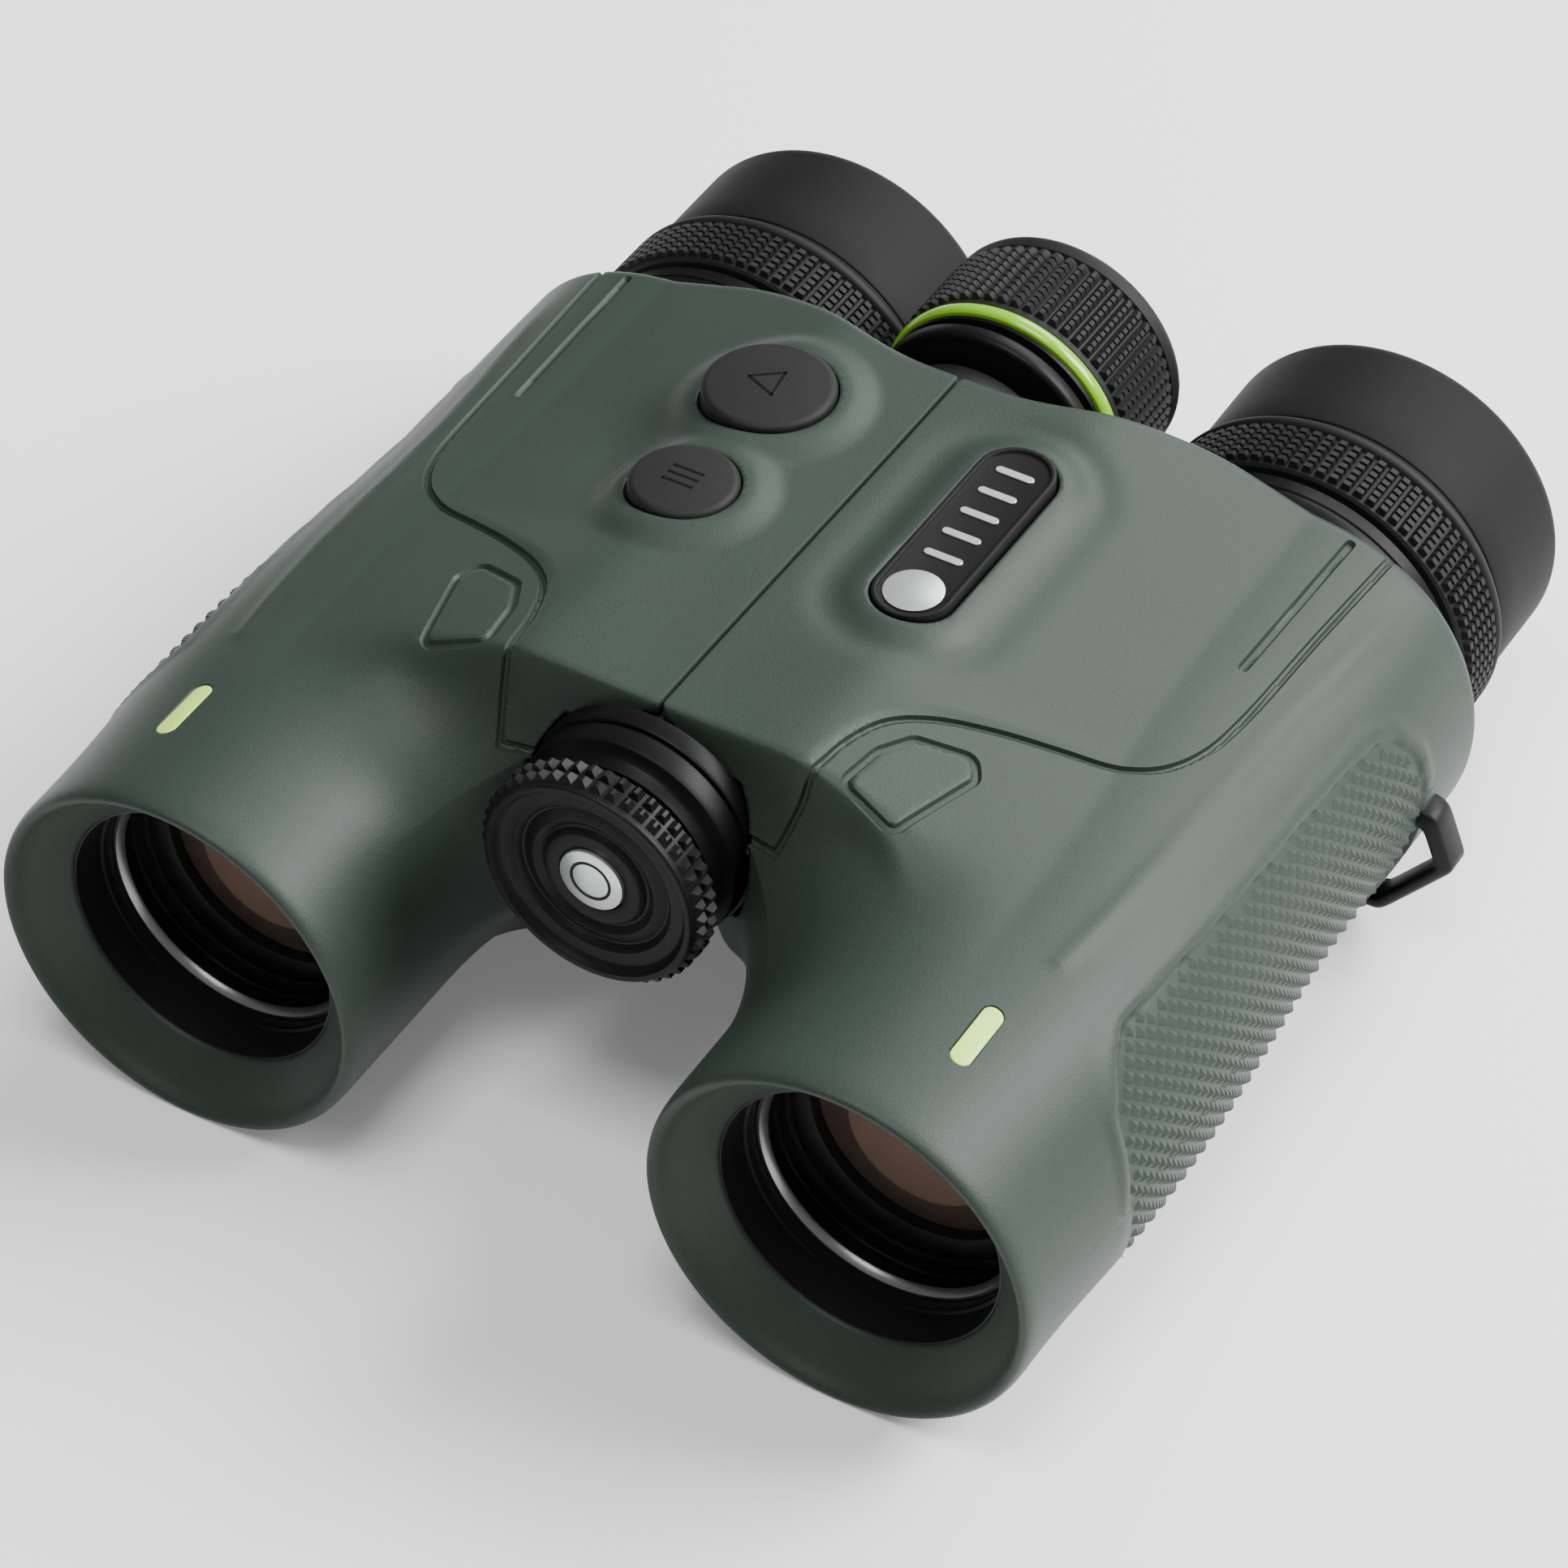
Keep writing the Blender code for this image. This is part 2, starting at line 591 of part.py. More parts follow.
def make_hinge_line():
    turned("hinge_tube", [(19.6, TUBE_BORE_R), (19.6, TUBE_R), (57.0, TUBE_R), (57.0, 3.0),
                          (56.2, 3.0), (56.2, TUBE_BORE_R)], 0, HINGE_Z, "black_anodised", 24)
    collar = [(19.4, 10.2), (19.4, 11.6), (21.6, 12.0), (21.9, 13.0), (22.6, COLLAR_R),
              (COLLAR_END, COLLAR_R), (COLLAR_END, 10.2)]
    turned("front_collar", collar, 0, HINGE_Z, "black_anodised", 28)
    housing = [(74.0, 4.5), (74.0, TUBE_R), (91.0, TUBE_R), (91.0, 11.4), (95.8, 11.4),
               (95.8, 4.5)]
    turned("rear_housing", housing, 0, HINGE_Z, "black_anodised", 24)


def make_battery():
    turned("battery", [(23.2, 0), (23.2, 3.0), (24.2, 3.0), (24.2, 8.4), (52.0, 8.4),
                       (52.0, 0)], 0, HINGE_Z, "battery_wrap", 20)
    turned("battery_spring", [(52.4, 0), (52.4, 2.0), (54.0, 5.5), (55.8, 5.5), (55.8, 0)],
           0, HINGE_Z, "brass", 20)
    cap = [(14.6, 0), (14.6, 4.2), (15.4, 4.4), (15.4, 6.2), (14.4, 6.6), (14.4, 9.0),
           (15.2, 9.6), (13.6, 11.6), (13.6, 12.6), (14.4, 13.4), (17.6, 13.4),
           (18.2, 12.6), (18.2, 8.5), (22.6, 8.5), (22.6, 0)]
    turned("battery_cap", cap, 0, HINGE_Z, "black_anodised", 28)
    turned("cap_badge", [(13.9, 0), (13.9, 3.6), (14.3, 3.8), (14.3, 0)], 0, HINGE_Z,
           "silver", 20)
    turned("cap_seal", tube_profile(18.5, 19.3, 8.9, 9.9), 0, HINGE_Z, "black_rubber", 20)


def make_focus_drive():
    hub = [(96.4, 5.0), (96.4, 13.4), (97.2, 14.3), (99.2, 14.3), (100.0, 13.0),
           (115.4, 13.0), (115.4, 5.0)]
    turned("focus_wheel", hub, 0, HINGE_Z, "black_anodised", 28)
    grip = [(102.6, 13.3), (102.6, 14.9), (103.0, 15.1), (115.4, 15.1), (116.3, 14.2),
            (116.3, 4.0), (115.7, 4.0), (115.7, 13.3)]
    turned("focus_wheel_grip", grip, 0, HINGE_Z, "black_rubber", 28)
    turned("focus_accent_ring", tube_profile(100.4, 102.3, 13.3, 14.9, 0.4), 0, HINGE_Z,
           "green_gloss", 28)
    turned("focus_spindle", [(59.0, 0), (59.0, 2.2), (97.0, 2.2), (97.0, 4.7), (115.0, 4.7),
                             (115.0, 0)], 0, HINGE_Z, "steel", 20)
    carriage = [(60.6, 2.6), (60.6, 9.4), (63.2, 9.4), (63.2, 4.0), (66.8, 4.0),
                (66.8, 9.4), (69.4, 9.4), (69.4, 2.6)]
    turned("focus_carriage", carriage, 0, HINGE_Z, "brass", 20)


# ---------------------------------------------------------------- controls

def upright(name, profile, x, y, material_name, segments=24):
    """Turn a (height, radius) profile about an upright axis through x, y."""
    mesh_data = bmesh.new()
    verts = [mesh_data.verts.new(world(x + radius, y, z)) for z, radius in profile]
    edges = [mesh_data.edges.new((verts[i], verts[(i + 1) % len(verts)]))
             for i in range(len(verts))]
    bmesh.ops.spin(mesh_data, geom=verts + edges, cent=world(x, y, 0), axis=(0, 0, 1),
                   angle=2 * math.pi, steps=segments, use_duplicate=False)
    bmesh.ops.remove_doubles(mesh_data, verts=mesh_data.verts, dist=1e-6)
    drop_flat_faces(mesh_data)
    return make_object(name, mesh_data, material_name, world(x, y, profile[0][0]))


def button_profile(radius):
    return [(24.9, 0), (24.9, 2.4), (26.0, 2.4), (26.0, radius), (30.0, radius),
            (30.7, radius - 0.9), (31.0, radius * 0.5), (31.0, 0)]


BUTTONS = {"power": BIG_BUTTON, "mode": SMALL_BUTTON}


def button_holes():
    return [upright("hole", [(20, 0), (20, radius + GAP), (40, radius + GAP), (40, 0)],
                    -x, y, "steel", 24) for x, y, radius in BUTTONS.values()]


def make_controls():
    for word, (x, y, radius) in BUTTONS.items():
        upright(word + "_button", button_profile(radius), -x, y, "black_rubber", 24)
        upright(word + "_switch", [(23.9, 0), (23.9, 2.0), (24.1, 2.0), (24.1, 0)],
                -x, y, "steel", 12)
    block("circuit_board", (-12.2, 51, 22.6), (-25.5, 87, 23.6), "board_green", 0)


def make_rangefinder():
    block("laser_emitter", (-16.5, 54, 17.0), (-23.5, 66, 21.8), "black_plastic", 0.5)
    block("laser_receiver", (16.5, 54, 17.0), (23.5, 66, 21.8), "black_plastic", 0.5)
    block("display_module", (13.0, 68, 22.6), (22.0, 84, 25.0), "black_plastic", 0.5)


def plate_piece(name, low, high, grow):
    across, station, length, width = PLATE
    return capsule(name, (across, station, top_height(station)), (0, 0, 1), length, width, low, high,
                   "black_plastic", grow)


def main():
    for thing in list(bpy.data.objects):
        bpy.data.objects.remove(thing, do_unlink=True)
    for side in (-1, 1):
        word = "left" if side < 0 else "right"
        make_half(side)
        make_optics(word, side)
        make_focus_cell(word, side)
        make_eyepiece(word, side)
    make_hinge_line()
    make_battery()
    make_focus_drive()
    make_rangefinder()
    make_controls()
    plate_piece("nameplate", -1.0, 0.4, 0)


main()
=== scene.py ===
import math

import bmesh
import bpy
import numpy as np
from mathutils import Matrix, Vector

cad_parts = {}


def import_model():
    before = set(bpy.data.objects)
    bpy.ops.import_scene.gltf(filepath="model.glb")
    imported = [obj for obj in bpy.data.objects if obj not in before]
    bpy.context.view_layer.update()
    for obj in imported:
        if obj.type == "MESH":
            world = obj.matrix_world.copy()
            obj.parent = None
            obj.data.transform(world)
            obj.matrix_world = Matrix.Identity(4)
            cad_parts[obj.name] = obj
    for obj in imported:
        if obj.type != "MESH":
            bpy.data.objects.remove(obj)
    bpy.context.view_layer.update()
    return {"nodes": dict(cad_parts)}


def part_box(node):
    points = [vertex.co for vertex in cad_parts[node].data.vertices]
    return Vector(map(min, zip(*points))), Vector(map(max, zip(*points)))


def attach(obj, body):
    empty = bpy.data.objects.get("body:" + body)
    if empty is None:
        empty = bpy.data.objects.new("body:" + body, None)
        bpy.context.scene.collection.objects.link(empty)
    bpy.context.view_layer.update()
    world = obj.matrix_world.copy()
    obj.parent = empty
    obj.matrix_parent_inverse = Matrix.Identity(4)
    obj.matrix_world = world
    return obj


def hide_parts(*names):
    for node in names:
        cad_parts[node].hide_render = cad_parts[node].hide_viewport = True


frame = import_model()

MM = 0.001
WORDS = {-1: "left", 1: "right"}  # side of X: name of the half


# ---- places, from the frame

def centre_mm(node):
    low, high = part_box(node)
    return [(a + b) / 2 / MM for a, b in zip(low, high)]


def low_mm(node):
    return [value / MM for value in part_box(node)[0]]


def high_mm(node):
    return [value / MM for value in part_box(node)[1]]


FRONT_TIP = -4.8  # hood tip, from the plane of the holes
STATION_ZERO = low_mm("right_armour")[1] - FRONT_TIP
OBJECTIVE_HALF = centre_mm("right_objective_cell")[0]
AXIS_Z = centre_mm("right_objective_cell")[2]
EYE_HALF = centre_mm("right_eyecup")[0]
HINGE_Z = centre_mm("focus_wheel")[2] - AXIS_Z

BARREL_R = 22.3
SIDE_BULGE = 1.3
SIDE_R = 23.9  # of the outer side, to unroll it
HOLE_R = 16.3
BODY_REAR_HALF = 37.6
TOP_Z = 30.0
TOP_DROP = 0.7
SLOPE = math.radians(17)
WEDGE = math.radians(22.5)
REAR_INNER = 92.0
REAR_OUTER = 98.3
GAP = 0.3
FLAT_END = 0.999  # how square the front face meets the top
EYE_SEAT_R = 19.0
HINGE_CLEAR_R = 12.0
COLLAR_CLEAR_R = 13.75
COLLAR_CLEAR_END = 26.9
COVER_LOW_Z = 20.2
TOP_LOW_Z = 12.0  # the top is what lies above this
STRETCH_FROM = 60.0  # stations behind this fit the rear end
REAR_ROUND_Y = 96.7  # where the rear edge starts to round
REAR_ROUND_R = 1.6
WELD = 1e-6  # metres
WALL = 1.3  # of the skins

BIG_BUTTON = (16.2, 77.8, 7.5)  # across, station, radius
SMALL_BUTTON = (15.9, 59.4, 6.1)
PLATE = (13.9, 67.4, 31.0, 9.0)  # across, station, length, width
MARK = (47.3, 10.5, 8.6, 2.2)
LUG_FRAME = [(65.8, -8.8), (57.8, -18.3), (52.3, -18.3), (59.6, -1.4), (63.2, -2.0)]
LUG_WINDOW = [(63.6, -8.9), (57.1, -16.7), (54.2, -16.7), (60.4, -4.0), (61.8, -4.2)]
LUG_MIDDLE = (59.8, -10.5)


def world(x, y, z):
    """Millimetres across, behind the hole plane and above the barrel axes, in metres."""
    return (x * MM, (y + STATION_ZERO) * MM, (z + AXIS_Z) * MM)


def to_world(points):
    return (points + np.array([0, STATION_ZERO, AXIS_Z])) * MM


def smooth(low, high, value):
    t = np.clip((value - low) / (high - low), 0, 1)
    return t * t * (3 - 2 * t)


# ---- materials

def new_material(name, color, roughness, metallic=0.0, specular=0.5, **inputs):
    made = bpy.data.materials.new(name)
    made.use_nodes = True
    shader = made.node_tree.nodes["Principled BSDF"]
    shader.inputs["Base Color"].default_value = (*color, 1)
    shader.inputs["Roughness"].default_value = roughness
    shader.inputs["Metallic"].default_value = metallic
    shader.inputs["Specular IOR Level"].default_value = specular
    for key, value in inputs.items():
        shader.inputs[key.replace("_", " ")].default_value = value
    return made


def add_node(tree, kind, **values):
    node = tree.nodes.new(kind)
    for key, value in values.items():
        node.inputs[key.replace("_", " ")].default_value = value
    return node


def grained(name, color, roughness, metallic, spread, scale, bump, rough_spread=0.05,
            **inputs):
    """Fine grain: a speckled colour, an uneven roughness and a bump, in object space."""
    made = new_material(name, color, roughness, metallic, **inputs)
    tree = made.node_tree
    link = tree.links.new
    shader = tree.nodes["Principled BSDF"]
    place = tree.nodes.new("ShaderNodeTexCoord")
    fine = add_node(tree, "ShaderNodeTexNoise", Scale=scale, Detail=3.0, Roughness=0.6)
    wide = add_node(tree, "ShaderNodeTexNoise", Scale=40.0, Detail=2.0, Roughness=0.5)
    link(place.outputs["Object"], fine.inputs["Vector"])
    link(place.outputs["Object"], wide.inputs["Vector"])
    ramp = tree.nodes.new("ShaderNodeValToRGB")
    dark = [channel * (1 - spread) for channel in color]
    light = [min(1.0, channel * (1 + spread)) for channel in color]
    ramp.color_ramp.elements[0].position = 0.3
    ramp.color_ramp.elements[0].color = (*dark, 1)
    ramp.color_ramp.elements[1].position = 0.72
    ramp.color_ramp.elements[1].color = (*light, 1)
    blend = tree.nodes.new("ShaderNodeMix")
    blend.data_type = "FLOAT"
    blend.inputs["Factor"].default_value = 0.3
    link(fine.outputs["Fac"], blend.inputs["A"])
    link(wide.outputs["Fac"], blend.inputs["B"])
    link(blend.outputs["Result"], ramp.inputs["Fac"])
    link(ramp.outputs["Color"], shader.inputs["Base Color"])
    range_node = add_node(tree, "ShaderNodeMapRange", To_Min=roughness - rough_spread,
                          To_Max=roughness + rough_spread)
    link(blend.outputs["Result"], range_node.inputs["Value"])
    link(range_node.outputs["Result"], shader.inputs["Roughness"])
    relief = add_node(tree, "ShaderNodeBump", Strength=bump, Distance=0.00006)
    link(fine.outputs["Fac"], relief.inputs["Height"])
    link(relief.outputs["Normal"], shader.inputs["Normal"])
    return made


M = {
    "armour": grained("armour_rubber_look", (0.024, 0.037, 0.029), 0.47, 0.0, 0.16, 4200.0,
                      0.55, specular=0.26),
    "grip": grained("grip_rubber_look", (0.028, 0.042, 0.033), 0.52, 0.0, 0.12, 5200.0, 0.4,
                    specular=0.4),
    "rubber": grained("black_rubber_look", (0.0115, 0.0115, 0.012), 0.58, 0.0, 0.15, 5200.0,
                      0.35, specular=0.18),
    "eyecup": grained("eyecup_rubber_look", (0.009, 0.009, 0.0095), 0.6, 0.0, 0.1, 6500.0,
                      0.25, specular=0.1),
    "metal": grained("black_metal_look", (0.004, 0.0038, 0.004), 0.4, 0.0, 0.2, 7000.0,
                     0.2, specular=0.13),
    "plastic": grained("black_plastic_look", (0.006, 0.006, 0.0063), 0.44, 0.0, 0.18, 6000.0,
                       0.25, specular=0.16),
    "bore": grained("bore_black_look", (0.007, 0.007, 0.007), 0.5, 0.0, 0.2, 5000.0, 0.2,
                    specular=0.3),
    # Chassis: a real magnesium part, coloured near black as painted shade for the gaps
    # between the parts where it shows.
    "housing": grained("magnesium_gap_shade_look", (0.012, 0.012, 0.012), 0.6, 0.0, 0.15, 2500.0, 0.4,
                       specular=0.2),
    "steel": grained("turned_steel_look", (0.42, 0.42, 0.43), 0.28, 1.0, 0.1, 3500.0, 0.2),
    "ring": grained("ring_look", (0.3, 0.3, 0.31), 0.3, 0.9, 0.12, 3500.0, 0.2),
    "brass": grained("brass_look", (0.55, 0.4, 0.17), 0.33, 1.0, 0.12, 3000.0, 0.2),
    "green": grained("green_gloss_look", (0.2, 0.5, 0.004), 0.2, 0.0, 0.06, 900.0, 0.05,
                     0.03, Coat_Weight=0.5),
    "mark": grained("mark_look", (0.56, 0.84, 0.13), 0.4, 0.0, 0.05, 2500.0, 0.2),
    "silver": grained("silver_look", (0.62, 0.64, 0.65), 0.33, 0.75, 0.05, 3000.0, 0.15),
    "wrap": grained("battery_wrap_look", (0.05, 0.12, 0.3), 0.35, 0.0, 0.1, 800.0, 0.1),
    "board": grained("board_look", (0.01, 0.1, 0.04), 0.4, 0.0, 0.3, 1500.0, 0.4),
    "coated": grained("coated_lens_look", (0.07, 0.043, 0.032), 0.4, 0.0, 0.04, 60.0, 0.0,
                      specular=0.25),
    # Painted reflection: a brighter brown that stands in for light reflected off the coated
    # glass.
    "painted_reflection": grained("lens_reflection_look", (0.19, 0.115, 0.085), 0.4, 0.0, 0.04, 60.0,
                    0.0, specular=0.25),
    "exit": grained("eye_lens_look", (0.05, 0.035, 0.05), 0.16, 0.3, 0.08, 30.0, 0.0, 0.01,
                    Coat_Weight=1.0),
    "clear": new_material("clear_glass_look", (0.05, 0.045, 0.04), 0.05, Alpha=0.05,
                          IOR=1.5),
}


# ---- mesh helpers

def object_from(name, points, faces, material, body, smooth_angle=35):
    """An object from points in metres and faces, smooth shaded, riding on a body."""
    mesh = bpy.data.meshes.new(name)
    mesh.from_pydata([tuple(p) for p in points], [], [tuple(f) for f in faces])
    mesh.validate()
    mesh.materials.append(M[material])
    made = bpy.data.objects.new(name, mesh)
    bpy.context.scene.collection.objects.link(made)
    outward(mesh)
    mesh.shade_smooth()
    mesh.set_sharp_from_angle(angle=math.radians(smooth_angle))
    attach(made, body)
    return made


def outward(mesh, weld_distance=None):
    """Turn the faces outwards, with close points joined first where asked."""
    work = bmesh.new()
    work.from_mesh(mesh)
    if weld_distance:
        bmesh.ops.remove_doubles(work, verts=work.verts, dist=weld_distance)
    bmesh.ops.recalc_face_normals(work, faces=work.faces)
    work.to_mesh(mesh)
    work.free()


def quads_between(rings, count, rings_close, points_close):
    """Quads between neighbouring rings of count points each."""
    faces = []
    for i in range(rings if rings_close else rings - 1):
        a = i * count
        b = (i + 1) % rings * count
        for j in range(count if points_close else count - 1):
            k = (j + 1) % count
            faces.append((a + j, b + j, b + k, a + k))
    return faces


def turned(name, profile, x, z, material, body, segments=160, smooth_angle=35):
    """Turn a closed (station, radius) profile about the line along Y through x, z."""
    profile = np.array(profile, float)
    angles = np.linspace(0, 2 * math.pi, segments, endpoint=False)
    count = len(profile)
    points = []
    for angle in angles:
        points.append(np.stack([x + profile[:, 1] * math.cos(angle), profile[:, 0],
                                z + profile[:, 1] * math.sin(angle)], -1))
    points = to_world(np.concatenate(points))
    on_axis = profile[:, 1] < 1e-6
    faces = [face for face in quads_between(segments, count, True, True)
             if not (on_axis[face[0] % count] and on_axis[face[2] % count])]
    made = object_from(name, points, faces, material, body, smooth_angle)
    outward(made.data, WELD)
    return made


def arc(cy, cr, ry, rr, start, end, steps=6):
    """Points (station, radius) of an ellipse arc; angle 0 points to larger radius."""
    return [(cy + ry * math.sin(math.radians(start + (end - start) * i / steps)),
             cr + rr * math.cos(math.radians(start + (end - start) * i / steps)))
            for i in range(steps + 1)]


def blocks_on_ring(around, rows, base_r, top_r, base_size, top_size, lean=0.0):
    """Tapered blocks standing on a ring: rows are the stations of their middles.

    Sizes are (round the ring, along Y) in millimetres. lean moves the tops round.
    """
    points = []
    faces = []
    for row in rows:
        for i in range(around):
            angle = 2 * math.pi * i / around
            a = len(points)
            for radius, (wide, long), shift in ((base_r, base_size, 0.0),
                                                (top_r, top_size, lean)):
                for su, sv in ((-1, -1), (1, -1), (1, 1), (-1, 1)):
                    turn = angle + (su * wide / 2 + shift) / radius
                    points.append((radius * math.cos(turn), row + sv * long / 2,
                                   radius * math.sin(turn)))
            faces += [(a + 3, a + 2, a + 1, a), (a + 4, a + 5, a + 6, a + 7)]
            faces += [(a + j, a + (j + 1) % 4, a + 4 + (j + 1) % 4, a + 4 + j)
                      for j in range(4)]
    return np.array(points, float), faces


def ribs(name, x, z, around, rows, base_r, top_r, base_size, top_size, material, body,
         lean=0.0):
    points, faces = blocks_on_ring(around, rows, base_r, top_r, base_size, top_size, lean)
    points = to_world(points + np.array([x, 0, z]))
    return object_from(name, points, faces, material, body, 20)


# ---- shape of a half

def body_axis(y):
    return OBJECTIVE_HALF + (BODY_REAR_HALF - OBJECTIVE_HALF) * smooth(30, 75, y)


def top_height(y):
    return TOP_Z - TOP_DROP * smooth(30, 90, y)


def plane_reach(theta, normal, distance):
    slant = np.cos(theta - normal)
    return np.where(slant > 1e-3, distance / np.maximum(slant, 1e-3), 1e3)


def soft_min(values, softness):
    values = np.stack(values)
    least = values.min(0)
    return least - softness * np.log(np.exp(-(values - least) / softness).sum(0))


def front_span(theta):
    """First and last station of the sloping front face, round a half."""
    degrees = np.degrees(theta)
    low = np.where(degrees < 0, smooth(0, -30, degrees), 0.0)
    return 8.0 + 10 * low, 28.0 - 2 * smooth(50, 75, degrees) + 16 * low


def body_radius(theta, y):
    """Outer radius about body_axis(y); theta 0 points at the hinge, 90 degrees is up."""
    axis = body_axis(y)
    outward_part = smooth(0.1, 0.9, np.clip(-np.cos(theta), 0, 1))
    bulge = (SIDE_BULGE * smooth(0, 26, y) + 0.5 * smooth(60, 90, y)) * outward_part
    barrel = BARREL_R + bulge
    wedge_reach = math.cos(WEDGE) * axis - math.sin(WEDGE) * HINGE_Z
    kept = 1 - math.sqrt(1 - FLAT_END)
    seam_reach = (axis - GAP / 2 - (1 - kept) * BARREL_R * np.cos(theta)) / kept
    seam = soft_min([plane_reach(theta, 0, seam_reach),
                     plane_reach(theta, math.pi / 2, top_height(y))], 0.1)
    rest = soft_min([plane_reach(theta, math.pi / 2 + SLOPE, BARREL_R * 0.985),
                     plane_reach(theta, -WEDGE, wedge_reach),
                     plane_reach(theta, -math.pi / 2 - SLOPE, BARREL_R), seam], 0.6)
    wing = np.maximum(barrel, np.minimum(rest, 1e3))
    wing = np.where(np.cos(theta) < math.cos(math.pi / 2 + SLOPE), barrel, wing)
    start, full = front_span(theta)
    t = np.clip((y - start) / (full - start), 0, 1)
    blend = 1 - np.sqrt(1 - FLAT_END * t * t)
    return barrel + (wing - barrel) * blend


def softened_radius(theta, y):
    """body_radius with its front crest rounded off, less at the bridge cover."""
    degrees = np.degrees(theta)
    reach = 0.4 + 0.5 * smooth(50, 60, degrees) + 2.1 * smooth(60, 80, degrees)
    reach += 1.6 * smooth(0, -30, degrees)
    total = 0
    weight = 0
    for k in np.linspace(-2.4, 2.4, 33):
        share = math.exp(-k * k / 2)
        total = total + share * body_radius(theta, y + k * reach)
        weight += share
    return total / weight


def rear_end(x):
    return REAR_INNER + (REAR_OUTER - REAR_INNER) * smooth(4, 32, x)


def wrap(theta):
    return (theta + math.pi) % (2 * math.pi) - math.pi


def body_point(theta, y, inset=0.0):
    """Points of the outer surface of the right half, in millimetres."""
    axis = body_axis(y)
    radius = softened_radius(wrap(theta), y) - inset
    sine = np.sin(theta)
    radius = np.where(radius * sine < -AXIS_Z, AXIS_Z / np.maximum(-sine, 1e-6), radius)
    x = axis - radius * np.cos(theta)
    share = (y - STRETCH_FROM) / (REAR_OUTER - STRETCH_FROM)
    stretched = STRETCH_FROM + share * (rear_end(np.abs(x)) - STRETCH_FROM)
    return np.stack([x, np.where(y > STRETCH_FROM, stretched, y), radius * sine], -1)


def ring_points(axis, theta, y, radius):
    z = np.maximum(radius * np.sin(theta), -AXIS_Z)
    return np.stack([axis - radius * np.cos(theta), y + 0 * theta, z], -1)


# ---- relief on the top

def curve_through(points, steps=14):
    """Catmull-Rom curve through the points."""
    p = np.array([points[0]] + list(points) + [points[-1]], float)
    t = np.linspace(0, 1, steps, endpoint=False)[:, None]
    out = []
    for a, b, c, d in zip(p, p[1:], p[2:], p[3:]):
        out.append(0.5 * ((2 * b) + (c - a) * t + (2 * a - 5 * b + 4 * c - d) * t ** 2
                          + (3 * b - a - 3 * c + d) * t ** 3))
    return np.concatenate(out + [p[-1:]])


def path_distance(xy, path):
    """Distance to a path, signed: positive on its left."""
    best = np.full(len(xy), 1e9)
    sign = np.ones(len(xy))
    for a, b in zip(path, path[1:]):
        run = b - a
        length = max(run @ run, 1e-12)
        t = np.clip(((xy - a) @ run) / length, 0, 1)
        away = xy - a - t[:, None] * run
        distance = np.hypot(away[:, 0], away[:, 1])
        side = run[0] * (xy[:, 1] - a[1]) - run[1] * (xy[:, 0] - a[0])
        nearer = distance < best - 1e-9
        best = np.where(nearer, distance, best)
        sign = np.where(nearer, np.sign(side), sign)
    return best * sign


def polygon_distance(xy, corners, rounding):
    """Signed distance to a closed outline with rounded corners, negative inside."""
    corners = np.array(corners, float)
    loop = np.vstack([corners, corners[:1]])
    best = np.full(len(xy), 1e9)
    inside = np.zeros(len(xy), bool)
    for a, b in zip(loop, loop[1:]):
        run = b - a
        t = np.clip(((xy - a) @ run) / (run @ run), 0, 1)
        away = xy - a - t[:, None] * run
        best = np.minimum(best, np.hypot(away[:, 0], away[:, 1]))
        crosses = (a[1] > xy[:, 1]) != (b[1] > xy[:, 1])
        height = b[1] - a[1] if abs(b[1] - a[1]) > 1e-9 else 1e-9
        where = a[0] + (xy[:, 1] - a[1]) / height * run[0]
        inside ^= crosses & (xy[:, 0] < where)
    return np.where(inside, -best, best) - rounding


def capsule_distance(xy, middle, length, width):
    half = (length - width) / 2
    dy = np.abs(xy[:, 1] - middle[1])
    return np.hypot(xy[:, 0] - middle[0], np.maximum(dy - half, 0)) - width / 2


COVER_EDGE = curve_through([
    (50.2, 104), (49.8, 95), (49.0, 80), (48.4, 66), (47.4, 58.5), (45.0, 53.4),
    (41.0, 50.4), (36.0, 48.4), (30.2, 46.0), (24.7, 42.9), (21.0, 39.2), (19.2, 34.5),
    (18.5, 29.5), (18.0, 27.0), (17.2, 25.0), (16.0, 22.0), (15.0, 18.0)])
D_PLATE = [(22.7, 29.8), (23.3, 34.6), (25.0, 38.0), (29.3, 39.7), (30.0, 38.6),
           (27.4, 28.6)]
SLOT = ((45.0, 72.0), (45.7, 96.0))
GRIP = [(24.0, 17.1), (32.7, 16.5), (54.7, 13.6), (77.5, 11.3), (80.5, 9.8), (83.0, 6.0),
        (83.8, 1.5), (83.2, -6.5), (77, -13.5), (27, -17.5), (18.5, -11.5), (16.2, 2),
        (17.6, 11.2), (20.9, 15.2)]


def cover_side(points):
    """Distance inside the bridge cover, positive on the cover."""
    x, y, z = points.T
    across = path_distance(np.stack([x, y], -1), COVER_EDGE)
    bottom = np.minimum(z - COVER_LOW_Z + 2 * np.maximum(x - 19, 0), z)
    return np.minimum(-across, bottom)


def side_coordinates(points):
    """Station, and the way round the outer side from its middle, upwards."""
    x, y, z = points.T
    return np.stack([y, np.arctan2(z, x - body_axis(y)) * SIDE_R], -1)


def hinge_side(points):
    """Distance outside the room kept clear for the hinge and the front collar."""
    around_hinge = np.hypot(points[:, 0], points[:, 2] - HINGE_Z)
    limit = np.where(points[:, 1] < COLLAR_CLEAR_END, COLLAR_CLEAR_R, HINGE_CLEAR_R)
    return around_hinge - limit


def well_side(xy, left):
    """Distance outside the buttons of the left half or the nameplate of the right."""
    if left:
        return np.minimum(*[np.hypot(xy[:, 0] - x, xy[:, 1] - y) - radius
                            for x, y, radius in (BIG_BUTTON, SMALL_BUTTON)])
    return capsule_distance(xy, PLATE, PLATE[2], PLATE[3])


